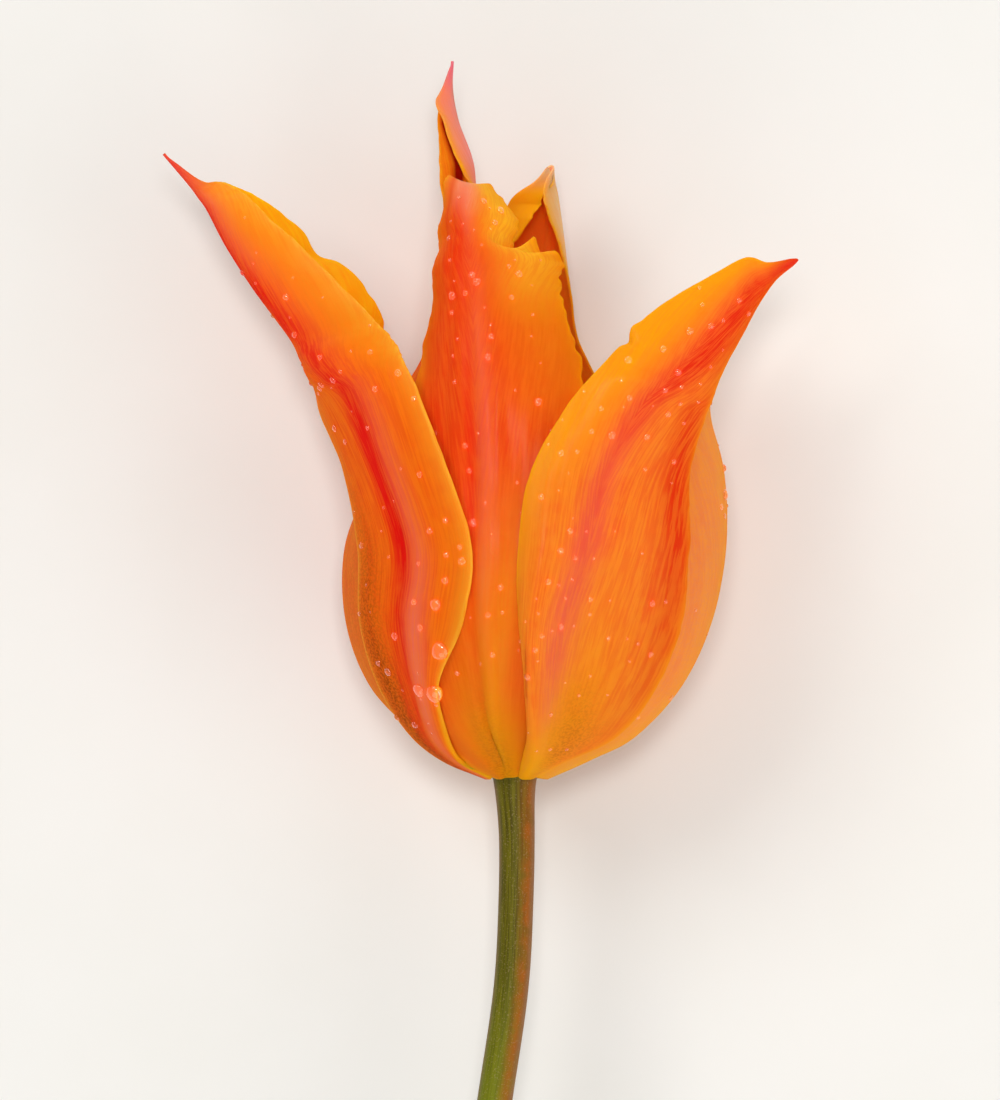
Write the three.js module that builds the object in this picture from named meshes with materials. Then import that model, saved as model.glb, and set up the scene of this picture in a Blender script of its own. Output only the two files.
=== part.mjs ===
// Lily-flowered tulip, cut and laid on its side.
// Millimetres, +Z up. The stem lies along -Y and the tips point along +Y.
// The origin is on the surface, under the middle of the small flat where the bloom's belly rests.

import * as THREE from 'three';

// Driving dimensions of the bloom
const CUP_RADIUS = 20.9;
const CUP_RING = 24; // height of the widest ring above the seat of the petals
const CUP_FLOOR = -0.6; // the cup's underside dips this far below the seat
const CUP_CLOSING = 0.0061; // how fast the cup draws in above its widest ring, per mm
const BLOOM_LEAN = 0.09; // sideways lean of the bloom's axis, mm per mm of height
const CLAW_HEIGHT = 5; // up to here the petals sit side by side more than over each other
const BLADE = 0.65; // thickness of a petal
const TIP_HALF_WIDTH = 0.4;
const EDGE_STEP = 0.02; // step used to find the slope of a surface

// Driving dimensions of the stem and of what stands inside the bloom
const STEM_RADIUS = 1.93;
const STEM_NECK_RADIUS = 2.3; // just under the petals
const STEM_CUT_RADIUS = 2.5; // at the cut end
const STEM_NECK_LENGTH = 2.5; // how fast the neck draws in below the petals
const STEM_FOOT_START = 60; // how far below the petals the stem starts to widen again
const RECEPTACLE_RADIUS = 3;
const RECEPTACLE_TOP = 1.6;
const SEAT_GAP = 0.45; // clearance between a piece and what it sits on
const STAMENS = 6;
const STAMEN_RING = 2.75;
const STAMEN_SPREAD = 6.4;
const FIRST_STAMEN_AZIMUTH = 14;
const FILAMENT_LENGTH = 11;
const ANTHER_LENGTH = 11;
const PISTIL_HEIGHT = 20;
const OVARY_RADIUS = 3;
const OVARY_FOOT_RADIUS = 1.7;
const STIGMA_RADIUS = 2.6;
const STIGMA_LOBE = 1.5;

// Where the bloom's seat lies: the belly of the back petal then meets the surface at Z = 0.
const SEAT = new THREE.Vector3(-2.3, -25, 20.5);

// Facets
const ROWS = 34;
const COLUMNS = 10;
const STEM_RINGS = 44;
const STEM_CORNERS = 12;

// Petal sides, seen from outside the bloom
const LEFT = 0;
const MIDDLE = 1;
const RIGHT = 2;

const UP = new THREE.Vector3(0, 0, 1);

function place(x, y, z) {
  return new THREE.Vector3(x, y, z).add(SEAT);
}

function cupRadius(height) {
  if (height > CUP_RING) {
    return CUP_RADIUS - CUP_CLOSING * (height - CUP_RING) ** 2;
  }
  const drop = (CUP_RING - height) / (CUP_RING - CUP_FLOOR);
  return CUP_RADIUS * Math.sqrt(Math.max(1 - drop * drop, 0));
}

// A point on the cup: azimuth in degrees round its axis, 0 towards +Z and 90 towards +X,
// and a lift off the cup's outline, square to it.
function onCup(azimuth, lift, height) {
  const slope = (cupRadius(height + EDGE_STEP) - cupRadius(height - EDGE_STEP)) / (2 * EDGE_STEP);
  const reach = Math.hypot(1, slope);
  const radius = cupRadius(height) + lift / reach;
  const level = height - (lift * slope) / reach;
  const turn = THREE.MathUtils.degToRad(azimuth);
  return place(BLOOM_LEAN * level + radius * Math.sin(turn), level, radius * Math.cos(turn));
}

// The petals. Each row of cup holds a height, the lift of the midrib off the cup's outline,
// and the azimuths of the left edge, the midrib and the right edge. Above the cup each row of
// blade holds the left edge, the midrib and the right edge as points, and then comes the tip.
// The wave is the height of the ripple along the edges.
const PETALS = {
  tepal_outer_left: {
    color: 0xf2701c,
    edgeLift: 0.4,
    wave: 0.35,
    waves: 7,
    cup: [
      [-0.25, 0, -74, -54, -37],
      [1.5, -0.2, -78, -54, -37],
      [4.5, -0.4, -76, -53, -34],
      [10, -0.3, -70, -47, -30.5],
      [17, 0, -67, -46, -21],
      [25, 0, -68, -45, -19.5],
    ],
    blade: [
      [[-18.8, 34, 3], [-15.5, 34.4, 12], [-7.9, 34.8, 18.8]],
      [[-22, 41.6, -2.4], [-18.8, 42.2, 9], [-11.6, 44.6, 14.6]],
      [[-18.8, 48, -4], [-23, 44.9, 5.6], [-13.6, 48, 12.2]],
      [[-15.2, 51.8, -3.6], [-24.4, 47.9, 3], [-16.3, 50.9, 9]],
      [[-19.9, 57.2, -4.4], [-28.4, 53.4, 1.5], [-22.8, 57.4, 6]],
      [[-25.8, 61.9, -3.8], [-31.6, 58.3, 1], [-26.9, 61.2, 4.5]],
      [[-29.9, 64.4, -2.8], [-33.7, 62.2, 0.5], [-29.9, 64, 2.8]],
      [[-32.2, 65.3, -1.7], [-34.8, 63.7, 0.4], [-32.2, 65.2, 1.7]],
      [[-34.6, 65.4, -0.8], [-35.8, 65, 0.3], [-34.6, 65.4, 0.9]],
    ],
    tip: [-38.7, 68.4, 0],
  },
  tepal_inner_front: {
    color: 0xee5a20,
    edgeLift: -0.4,
    wave: 0.4,
    waves: 9,
    cup: [
      [-0.25, -0.2, -30, -14, -1],
      [0.9, -1.3, -38, -14, 7],
      [4.5, -1.5, -50, -16, 17],
      [10, -1.4, -52, -16, 18],
      [17, -1, -53, -17, 20],
      [25, -1, -54, -18.5, 20],
      [33, -1, -54, -21, 19],
    ],
    blade: [
      [[-11.7, 40.3, 11], [-4.2, 40.5, 18], [8.4, 40.3, 16.6]],
      [[-10.1, 45.8, 10.5], [-4.4, 46.5, 17.3], [7.2, 46.8, 14.5]],
      [[-9.2, 51.6, 10], [-4.6, 52.2, 16], [5, 52.6, 12.2]],
      [[-8.7, 55.8, 9.2], [-4.9, 56.4, 14.4], [5.7, 56.4, 9.6]],
      [[-8.5, 58.4, 8.7], [-5.1, 59.4, 13.2], [0, 57.4, 10.6]],
      [[-8.4, 61, 8], [-5.3, 62.3, 12], [0.3, 60.6, 9]],
      [[-7.8, 64.8, 6.8], [-5.4, 65.8, 9.6], [-2.4, 64.6, 7.4]],
      [[-7, 65.4, 4.6], [-5.4, 66.2, 6.4], [-4, 65.2, 5.2]],
    ],
    tip: [-5.4, 63.6, 3.4],
  },
  tepal_outer_right: {
    color: 0xf47c18,
    edgeLift: 0.4,
    wave: 0.35,
    waves: 7,
    cup: [
      [-0.25, 0, 7, 20, 37],
      [1.5, 0, 6, 17, 37],
      [4.5, 0, 5, 15, 57],
      [10, 0, 1, 12, 58],
      [17, 0, -3, 12, 56],
      [25, 0, -5, 16, 53],
      [33, 0, -3.5, 20, 51.5],
    ],
    blade: [
      [[5.6, 40.3, 19.7], [13.6, 40.2, 18.6], [20.8, 39.2, 12.6]],
      [[10.8, 46.3, 19.4], [16.6, 43.5, 18], [21.6, 41.4, 13.4]],
      [[15, 50.9, 18], [19.7, 46.9, 17], [23, 44.9, 13.8]],
      [[20.8, 54.8, 16.6], [23.6, 51.4, 16], [25.4, 49.4, 13.8]],
      [[25, 57, 15.4], [26, 54, 15], [27, 52.2, 13.8]],
      [[27.8, 56.3, 14.6], [28.2, 55.2, 14.3], [28.6, 54.4, 13.6]],
    ],
    tip: [31, 56.6, 13],
  },
  tepal_inner_right: {
    color: 0xf58540,
    edgeLift: -1.6,
    wave: 0.4,
    waves: 8,
    cup: [
      [-0.25, 0, 44, 86, 121],
      [1.5, -0.5, 36, 87, 127],
      [4.5, 0.05, 42, 88, 131],
      [10, 0.15, 45, 88, 133],
      [17, -0.05, 44, 88, 135],
      [25, -0.1, 44, 88, 136],
      [33, -0.5, 46, 88, 134],
    ],
    blade: [
      [[16.2, 39.8, 12], [21.3, 40, -0.5], [16.2, 40, -12.2]],
      [[17.6, 44.8, 7.4], [22.2, 45.2, -1.6], [18, 45, -9.8]],
      [[20.4, 48.8, 2.6], [23.4, 49.6, -2.6], [20.8, 48.8, -6.8]],
      [[23.2, 51.4, -0.6], [24.8, 52, -3], [23.4, 51.2, -4.8]],
    ],
    tip: [26, 53.6, -3.4],
  },
  tepal_outer_back: {
    color: 0xf07a20,
    edgeLift: 0.4,
    wave: 0.3,
    waves: 7,
    cup: [
      [-0.25, 0, 130, 168, 200],
      [1.5, 0, 129, 169, 205],
      [4.5, 0, 129, 170, 207],
      [10, 0, 131, 170, 208],
      [17, 0, 130, 171, 209],
      [25, 0, 131, 172, 209],
      [33, -0.1, 139, 173, 206],
    ],
    blade: [
      [[11, 40.6, -15], [2.6, 41, -19.2], [-7.6, 40.8, -17]],
      [[7.4, 47, -12.4], [2.4, 47, -18.4], [-7, 47, -14.8]],
      [[6, 53.2, -9.4], [3, 53, -16.8], [-6.4, 53, -12.4]],
      [[4.8, 59, -6.8], [3.6, 59, -14.4], [-4.6, 59, -11.2]],
      [[3.1, 63.3, -5], [4.2, 63.3, -10.8], [-0.4, 62.9, -9.8]],
    ],
    tip: [4, 67.2, -6],
  },
  tepal_inner_left: {
    color: 0xf08038,
    edgeLift: -2.6,
    wave: 0.4,
    waves: 8,
    cup: [
      [-0.25, -0.1, -150, -116, -84],
      [1.5, -1.2, -156, -117, -73],
      [4.5, -0.5, -161, -118, -68],
      [10, 0.45, -162, -115, -62],
      [17, 0.75, -162, -113, -60],
      [25, 0.75, -162, -113, -60],
      [33, -0.2, -162, -120, -68],
    ],
    blade: [
      [[-8.4, 39.4, -14.6], [-13.8, 39.4, -5.6], [-11.4, 39.8, 5]],
      [[-4.6, 45.8, -12], [-9.6, 46, -4.6], [-8.4, 46.4, 4]],
      [[-3.6, 53.6, -8.6], [-7.8, 54, -4], [-7.6, 54.4, 3]],
      [[-3.4, 61, -3.6], [-6, 61.4, -5], [-7.9, 61.8, 0.6]],
      [[-5.4, 66.4, 1.2], [-5.1, 66.8, -2], [-8.2, 67.2, -1]],
      [[-7.6, 71.8, 0.9], [-6.5, 72, -1], [-8.5, 72.2, -0.9]],
    ],
    tip: [-6.9, 78.4, 0.2],
  },
};

// The three lines that a petal hangs on, from its seat to its tip.
function petalLines(petal) {
  const stations = petal.cup.map(([height, lift, left, middle, right]) => {
    const edge = lift + petal.edgeLift * THREE.MathUtils.smoothstep(height, CUP_FLOOR, CLAW_HEIGHT);
    return [onCup(left, edge, height), onCup(middle, lift, height), onCup(right, edge, height)];
  });
  petal.blade.forEach((row) => stations.push(row.map((point) => place(...point))));
  const last = stations[stations.length - 1];
  const tip = place(...petal.tip);
  const across = last[RIGHT].clone().sub(last[LEFT]).setLength(TIP_HALF_WIDTH);
  stations.push([tip.clone().sub(across), tip, tip.clone().add(across)]);
  return [LEFT, MIDDLE, RIGHT].map(
    (side) => new THREE.CatmullRomCurve3(stations.map((row) => row[side]), false, 'catmullrom', 0.5)
  );
}

// A point of the petal's middle surface: across each station it is the parabola through the
// left edge, the midrib and the right edge. side runs from -1 to 1 and along from 0 to 1.
function smoothPoint(lines, side, along) {
  const [left, middle, right] = lines.map((line) => line.getPoint(THREE.MathUtils.clamp(along, 0, 1)));
  const slant = right.clone().sub(left).multiplyScalar(0.5);
  const bow = right.clone().add(left).multiplyScalar(0.5).sub(middle);
  return middle.addScaledVector(slant, side).addScaledVector(bow, side * side);
}

function outward(pointAt, side, along) {
  const across = pointAt(side + EDGE_STEP, along).sub(pointAt(side - EDGE_STEP, along));
  const above = pointAt(side, Math.min(along + EDGE_STEP, 1));
  const below = pointAt(side, Math.max(along - EDGE_STEP, 0));
  return across.cross(above.sub(below)).normalize();
}

// The ripple grows towards the edges and from the cup's rim up, and dies out at the tip.
function ripple(petal, side, along) {
  const start = petal.cup.length / (petal.cup.length + petal.blade.length);
  const free = THREE.MathUtils.smoothstep(along, start - 0.1, start + 0.15);
  const fade = 1 - THREE.MathUtils.smoothstep(along, 0.86, 1);
  const phase = side > 0 ? 0 : 2;
  const height = petal.wave * free * fade * Math.abs(side) ** 3;
  return height * Math.sin(2 * Math.PI * petal.waves * along + phase);
}

// Keeps a face of a petal off the surface that the flower lies on.
function settle(point, lowest) {
  point.z = Math.max(point.z, lowest);
  return point;
}

// A thin solid: the same grid on the outer and the inner face, joined round the rim.
function petalGeometry(petal) {
  const lines = petalLines(petal);
  const plain = (side, along) => smoothPoint(lines, side, along);
  const waved = (side, along) =>
    plain(side, along).addScaledVector(outward(plain, side, along), ripple(petal, side, along));
  const positions = [];
  for (const face of [1, -1]) {
    for (let row = 0; row <= ROWS; row += 1) {
      for (let column = 0; column <= COLUMNS; column += 1) {
        const side = (2 * column) / COLUMNS - 1;
        const along = row / ROWS;
        const point = waved(side, along).addScaledVector(outward(waved, side, along), (face * BLADE) / 2);
        settle(point, face > 0 ? 0 : BLADE);
        positions.push(...point.toArray());
      }
    }
  }
  const width = COLUMNS + 1;
  const backFace = width * (ROWS + 1);
  const index = [];
  for (let row = 0; row < ROWS; row += 1) {
    for (let column = 0; column < COLUMNS; column += 1) {
      const a = row * width + column;
      const b = a + 1;
      const c = a + width;
      const d = c + 1;
      index.push(a, b, d, a, d, c);
      index.push(backFace + a, backFace + d, backFace + b, backFace + a, backFace + c, backFace + d);
    }
  }
  const rim = [];
  for (let column = 0; column < COLUMNS; column += 1) rim.push(column);
  for (let row = 0; row < ROWS; row += 1) rim.push(row * width + COLUMNS);
  for (let column = COLUMNS; column > 0; column -= 1) rim.push(ROWS * width + column);
  for (let row = ROWS; row > 0; row -= 1) rim.push(row * width);
  rim.forEach((here, step) => {
    const next = rim[(step + 1) % rim.length];
    index.push(here, backFace + next, next, here, backFace + here, backFace + next);
  });
  const geometry = new THREE.BufferGeometry();
  geometry.setAttribute('position', new THREE.Float32BufferAttribute(positions, 3));
  geometry.setIndex(index);
  return geometry;
}

// A solid swept along a line that runs roughly along Y: each ring is an outline of corners set
// square to the line, its first corner away from the vertical. Both ends are closed by a fan.
function sweptGeometry(curve, stations, corners, radiusAt) {
  const positions = [];
  stations.forEach((along) => {
    const centre = curve.getPointAt(along);
    const ahead = curve.getTangentAt(along);
    const sideways = ahead.clone().cross(UP).normalize();
    const upward = sideways.clone().cross(ahead);
    for (let corner = 0; corner < corners; corner += 1) {
      const turn = (2 * Math.PI * corner) / corners;
      const radius = radiusAt(along, turn);
      const point = centre.clone().addScaledVector(sideways, radius * Math.cos(turn));
      point.addScaledVector(upward, radius * Math.sin(turn));
      positions.push(...settle(point, 0).toArray());
    }
  });
  const index = [];
  const end = (stations.length - 1) * corners;
  for (let first = 0; first < end; first += corners) {
    for (let corner = 0; corner < corners; corner += 1) {
      const a = first + corner;
      const b = first + ((corner + 1) % corners);
      index.push(a, b + corners, b, a, a + corners, b + corners);
    }
  }
  const foot = positions.length / 3;
  positions.push(...curve.getPointAt(0).toArray(), ...curve.getPointAt(1).toArray());
  for (let corner = 0; corner < corners; corner += 1) {
    const next = (corner + 1) % corners;
    index.push(foot, corner, next, foot + 1, end + next, end + corner);
  }
  const geometry = new THREE.BufferGeometry();
  geometry.setAttribute('position', new THREE.Float32BufferAttribute(positions, 3));
  geometry.setIndex(index);
  return geometry;
}

// Fractions of a line's length, closer together towards its end where power is above 1.
function steps(count, power = 1) {
  return Array.from({ length: count + 1 }, (_, step) => 1 - (1 - step / count) ** power);
}

function addPiece(group, name, geometry, color, roughness) {
  geometry.computeVertexNormals();
  const material = new THREE.MeshStandardMaterial({ color, roughness, metalness: 0 });
  const mesh = new THREE.Mesh(geometry, material);
  mesh.name = name;
  group.add(mesh);
}

// The stem, from its cut end up to the receptacle inside the bloom.
function stemGeometry() {
  const route = [
    [-19, -171, -18],
    [-18.2, -145, -15.6],
    [-14.6, -110, -11.2],
    [-8.6, -75, -6.6],
    [-2.2, -35.6, -2],
    [-0.4, -23, -0.9],
    [0.1, -13.8, -0.3],
    [0.2, -7, 0],
    [0, -1.2, 0],
    [0, RECEPTACLE_TOP, 0],
  ].map((point) => place(...point));
  const curve = new THREE.CatmullRomCurve3(route);
  const length = curve.getLength();
  const radiusAt = (along) => {
    const below = length * (1 - along) - RECEPTACLE_TOP;
    const neck = (STEM_NECK_RADIUS - STEM_RADIUS) * Math.exp(-Math.max(below, 0) / STEM_NECK_LENGTH);
    const widening = THREE.MathUtils.smoothstep(below, STEM_FOOT_START, length);
    const foot = (STEM_CUT_RADIUS - STEM_RADIUS) * widening;
    const swelling = 1 - THREE.MathUtils.smoothstep(below, -0.2, 0.5);
    return THREE.MathUtils.lerp(STEM_RADIUS + neck + foot, RECEPTACLE_RADIUS, swelling);
  };
  return sweptGeometry(curve, steps(STEM_RINGS, 2), STEM_CORNERS, radiusAt);
}

// The pistil: a three-sided ovary under a stigma of three spreading lobes.
function pistilGeometry() {
  const foot = RECEPTACLE_TOP + SEAT_GAP;
  const top = foot + PISTIL_HEIGHT;
  const curve = new THREE.LineCurve3(place(0, foot, 0), place(BLOOM_LEAN * PISTIL_HEIGHT, top, 0));
  const radiusAt = (along, turn) => {
    const belly = Math.sin(Math.PI * Math.min(along * 1.1, 1)) ** 0.8;
    const ovary = THREE.MathUtils.lerp(OVARY_FOOT_RADIUS, OVARY_RADIUS, belly);
    const body = ovary * (1 + 0.08 * Math.cos(3 * turn));
    const crown = STIGMA_RADIUS + STIGMA_LOBE * Math.cos(3 * turn);
    return THREE.MathUtils.lerp(body, crown, THREE.MathUtils.smoothstep(along, 0.82, 0.93));
  };
  return sweptGeometry(curve, steps(16), 18, radiusAt);
}

function stamenPoint(azimuth, radius, height) {
  const turn = THREE.MathUtils.degToRad(azimuth);
  return place(BLOOM_LEAN * height + radius * Math.sin(turn), height, radius * Math.cos(turn));
}

function addStamens(group) {
  const foot = RECEPTACLE_TOP + SEAT_GAP;
  const shoulder = foot + FILAMENT_LENGTH;
  const bend = THREE.MathUtils.lerp(STAMEN_RING, STAMEN_SPREAD, 0.45);
  const taper = (along) => 0.6 - 0.25 * along;
  const bulge = (along) => 0.35 + 0.95 * Math.sin(Math.PI * along) ** 0.4;
  const pod = (along, turn) => bulge(along) * (1 + 0.1 * Math.cos(2 * turn));
  for (let stamen = 0; stamen < STAMENS; stamen += 1) {
    const azimuth = FIRST_STAMEN_AZIMUTH + (360 * stamen) / STAMENS;
    const filament = new THREE.CatmullRomCurve3([
      stamenPoint(azimuth, STAMEN_RING, foot),
      stamenPoint(azimuth, bend, foot + 0.4 * FILAMENT_LENGTH),
      stamenPoint(azimuth, STAMEN_SPREAD, shoulder),
    ]);
    const anther = new THREE.LineCurve3(
      stamenPoint(azimuth, STAMEN_SPREAD + 0.1, shoulder + SEAT_GAP),
      stamenPoint(azimuth, STAMEN_SPREAD + 0.9, shoulder + SEAT_GAP + ANTHER_LENGTH)
    );
    const stalk = sweptGeometry(filament, steps(6), 6, taper);
    const sac = sweptGeometry(anther, steps(10), 8, pod);
    addPiece(group, `filament_${stamen + 1}`, stalk, 0xd8c86a, 0.55);
    addPiece(group, `anther_${stamen + 1}`, sac, 0x4a3a2a, 0.9);
  }
}

const tulip = new THREE.Group();
for (const [name, petal] of Object.entries(PETALS)) {
  addPiece(tulip, name, petalGeometry(petal), petal.color, 0.45);
}
addPiece(tulip, 'stem', stemGeometry(), 0x7a7a2c, 0.6);
addPiece(tulip, 'pistil', pistilGeometry(), 0x9aa850, 0.5);
addStamens(tulip);

export default tulip;
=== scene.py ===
"""The looks of a cut lily-flowered tulip that lies on a pale surface, seen from straight above.

Six petals flare from a slim cup on a bare, curved stem, wet with small drops of water. Shapes are
worked out in millimetres, from the bloom's own seat, and put into the meshes in metres.
"""

import logging
import math
from collections.abc import Callable
from dataclasses import dataclass, field
from enum import Enum

import bpy
import numpy as np
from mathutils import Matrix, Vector


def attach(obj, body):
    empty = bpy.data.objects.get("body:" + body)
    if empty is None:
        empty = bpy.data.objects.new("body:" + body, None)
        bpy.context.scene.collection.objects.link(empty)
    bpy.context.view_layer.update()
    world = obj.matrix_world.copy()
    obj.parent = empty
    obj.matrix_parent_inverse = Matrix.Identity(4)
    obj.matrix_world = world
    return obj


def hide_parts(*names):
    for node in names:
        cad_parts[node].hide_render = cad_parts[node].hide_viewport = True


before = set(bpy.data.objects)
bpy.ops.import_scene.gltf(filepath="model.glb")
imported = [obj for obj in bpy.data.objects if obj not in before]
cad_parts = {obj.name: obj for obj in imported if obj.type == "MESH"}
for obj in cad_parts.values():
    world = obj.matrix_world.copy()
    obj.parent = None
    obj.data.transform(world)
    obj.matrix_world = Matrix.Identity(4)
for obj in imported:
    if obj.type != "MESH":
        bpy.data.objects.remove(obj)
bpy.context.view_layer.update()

log = logging.getLogger("tulip")

Array = np.ndarray
Row = tuple[float, ...]
Point = tuple[float, float, float]
Surface = Callable[[Array, Array], Array]

MM = 0.001
SEAT = np.array([-2.3, -25.0, 20.5])  # where the bloom's seat lies in the part's frame
UP = np.array([0.0, 0.0, 1.0])
SLOPE_STEP = 0.01  # step used to find the slope of a surface
CUP_STEP = 0.02  # step used to find the slope of the cup's outline, mm
RIDGE_FADE = 0.08  # share of a petal's length in which a ridge fades in or out
RAGGED_FALL = 0.4  # how fast the faster sines of a ragged line weaken
RAGGED_GAIN = 1.8

# The veins, which turn out towards the margins half way up a petal
FAN_START = 0.42
FAN_SPREAD = 1.3
FAN_SOFTNESS = 0.01

# Kinds of shader node, and the settings that repeat
SHADER = "ShaderNodeBsdfPrincipled"
OUTPUT = "ShaderNodeOutputMaterial"
PLACE = "ShaderNodeTexCoord"
MARK = "ShaderNodeAttribute"
MAPPING = "ShaderNodeMapping"
NOISE = "ShaderNodeTexNoise"
SPAN = "ShaderNodeMapRange"
MATH = "ShaderNodeMath"
MIX = "ShaderNodeMix"
BUMP = "ShaderNodeBump"
SOFT = {"interpolation_type": "SMOOTHSTEP"}
TIMES = {"operation": "MULTIPLY", "use_clamp": True}
TIMES_PLUS = {"operation": "MULTIPLY_ADD", "use_clamp": True}
COLOURS = {"data_type": "RGBA"}
MIXED = 2  # the colour output of a Mix node; its colours go in at UNDER and OVER
UNDER = 6
OVER = 7

# The cup that the petals hang on
CUP_RADIUS = 20.9
CUP_RING = 24.0
CUP_FLOOR = -0.6
CUP_CLOSING = 0.0061
BLOOM_LEAN = 0.09
CLAW_HEIGHT = 5.0

# The pieces at the bloom's heart
RECEPTACLE_TOP = 1.6
SEAT_GAP = 0.45


# Small helpers: shapes


def smoothstep(value: Array, low: float, high: float) -> Array:
    """Rises smoothly from 0 at low to 1 at high: 3t squared less 2t cubed."""
    share = np.clip((value - low) / (high - low), 0.0, 1.0)
    return share * share * (3.0 - 2.0 * share)


def unit(vectors: Array) -> Array:
    """The vectors at length 1."""
    return vectors / np.linalg.norm(vectors, axis=-1, keepdims=True)


def cup_radius(height: Array) -> Array:
    """The cup's outline: half an ellipse below its widest ring, a shallow parabola above it.

    Args:
        height: heights above the bloom's seat, mm.

    Returns:
        The radius at each height, mm.
    """
    drop = (CUP_RING - height) / (CUP_RING - CUP_FLOOR)
    below = CUP_RADIUS * np.sqrt(np.maximum(1.0 - drop * drop, 0.0))
    above = CUP_RADIUS - CUP_CLOSING * (height - CUP_RING) ** 2
    return np.where(height > CUP_RING, above, below)


def on_cup(azimuth: Array, lift: Array, height: Array) -> Array:
    """Points at an azimuth round the cup's leaning axis, lifted square to its outline.

    Args:
        azimuth: degrees, 0 towards the camera and 90 towards the right.
        lift: distance off the outline, mm.
        height: height above the seat, mm.

    Returns:
        The points, mm.
    """
    slope = (cup_radius(height + CUP_STEP) - cup_radius(height - CUP_STEP)) / (2 * CUP_STEP)
    reach = np.hypot(1.0, slope)
    radius = cup_radius(height) + lift / reach
    level = height - lift * slope / reach
    turn = np.radians(azimuth)
    across = BLOOM_LEAN * level + radius * np.sin(turn)
    return np.stack([across, level, radius * np.cos(turn)], axis=-1)


def even_spline(points: Array, along: Array) -> Array:
    """Uniform Catmull-Rom through the stations, the end tangents taken from mirrored ends.

    Args:
        points: stations, the first axis running along the line.
        along: fractions of the line, 0 to 1.

    Returns:
        One interpolated station for each fraction.
    """
    first, last = 2 * points[0] - points[1], 2 * points[-1] - points[-2]
    held = np.concatenate([[first], points, [last]])
    place = np.clip(along, 0.0, 1.0) * (len(points) - 1)
    piece = np.minimum(place.astype(int), len(points) - 2)
    w = (place - piece).reshape(place.shape + (1,) * (points.ndim - 1))
    a, b, c, d = (held[piece + step] for step in range(4))
    bend = (2 * a - 5 * b + 4 * c - d) * w + (3 * b - a - 3 * c + d) * w * w
    return 0.5 * (2 * b + ((c - a) + bend) * w)


def stem_spline(points: Array, count: int) -> Array:
    """Centripetal Catmull-Rom through the points: knots spaced by the root of their distance.

    Args:
        points: the points of the route, mm.
        count: samples in each piece between two points.

    Returns:
        The sampled line, mm.
    """
    first, last = 2 * points[0] - points[1], 2 * points[-1] - points[-2]
    held = np.concatenate([[first], points, [last]])
    knots = np.sqrt(np.linalg.norm(np.diff(held, axis=0), axis=1))[:, None, None]
    p0, p1, p2, p3 = (held[k : k + len(points) - 1, None] for k in range(4))
    d0, d1, d2 = (knots[k : k + len(points) - 1] for k in range(3))
    t1 = ((p1 - p0) / d0 - (p2 - p0) / (d0 + d1) + (p2 - p1) / d1) * d1
    t2 = ((p2 - p1) / d1 - (p3 - p1) / (d1 + d2) + (p3 - p2) / d2) * d1
    w = np.linspace(0.0, 1.0, count, endpoint=False)[None, :, None]
    bend = (3 * p2 - 3 * p1 - 2 * t1 - t2) * w**2 + (2 * p1 - 2 * p2 + t1 + t2) * w**3
    line = (p1 + t1 * w + bend).reshape(-1, 3)
    return np.concatenate([line, points[-1:]])


def outward(surface: Surface, side: Array, along: Array) -> Array:
    """The normal of a sheet: the slope across it crossed with the slope along it.

    Args:
        surface: gives a point for each side and place along.
        side: the side of each point, from -1 at the left margin to 1 at the right one.
        along: the place of each point along the petal, 0 to 1.

    Returns:
        The unit normals.
    """
    across = surface(side + SLOPE_STEP, along) - surface(side - SLOPE_STEP, along)
    ahead = np.minimum(along + SLOPE_STEP, 1.0)
    behind = np.maximum(along - SLOPE_STEP, 0.0)
    return unit(np.cross(across, surface(side, ahead) - surface(side, behind)))


def ragged(along: Array, seed: int, slowest: float, fastest: float, terms: int = 7) -> Array:
    """A seeded wandering line between about -1 and 1: a sum of sines at random phases.

    Args:
        along: where the line is wanted.
        seed: what the phases are drawn from.
        slowest: waves of the slowest sine in a length of 1.
        fastest: waves of the fastest one.
        terms: how many sines are summed.

    Returns:
        The line's height at each place.
    """
    draw = np.random.default_rng(seed)
    rates = np.geomspace(slowest, fastest, terms)
    phases = draw.uniform(0.0, 2 * math.pi, terms)
    waves = np.sin(2 * math.pi * rates * along[..., None] + phases)
    weights = rates**-RAGGED_FALL
    return (waves * weights).sum(axis=-1) / weights.sum() * RAGGED_GAIN


def fan(side: Array, along: Array) -> Array:
    """A vein's number: the distance from the midrib, less the spread times h plus the root of h
    squared plus the softness, h being the place past the start of the fan."""
    past = along - FAN_START
    return np.abs(side) - FAN_SPREAD * (past + np.sqrt(past * past + FAN_SOFTNESS))


def ring_angles(corners: int) -> Array:
    """The angles of the corners of a ring, evenly spaced, radians."""
    return np.arange(corners) * 2 * math.pi / corners


def closed_grid_faces(rows: int, columns: int) -> Array:
    """Quads of a grid whose columns close into a ring, rows first.

    Args:
        rows: how many rows of points.
        columns: how many points in each row.

    Returns:
        Four vertex numbers for each quad.
    """
    row = np.arange(rows - 1)[:, None] * columns
    first = row + np.arange(columns)
    second = row + (np.arange(columns) + 1) % columns
    return np.stack([first, second, second + columns, first + columns], -1).reshape(-1, 4)


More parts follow.
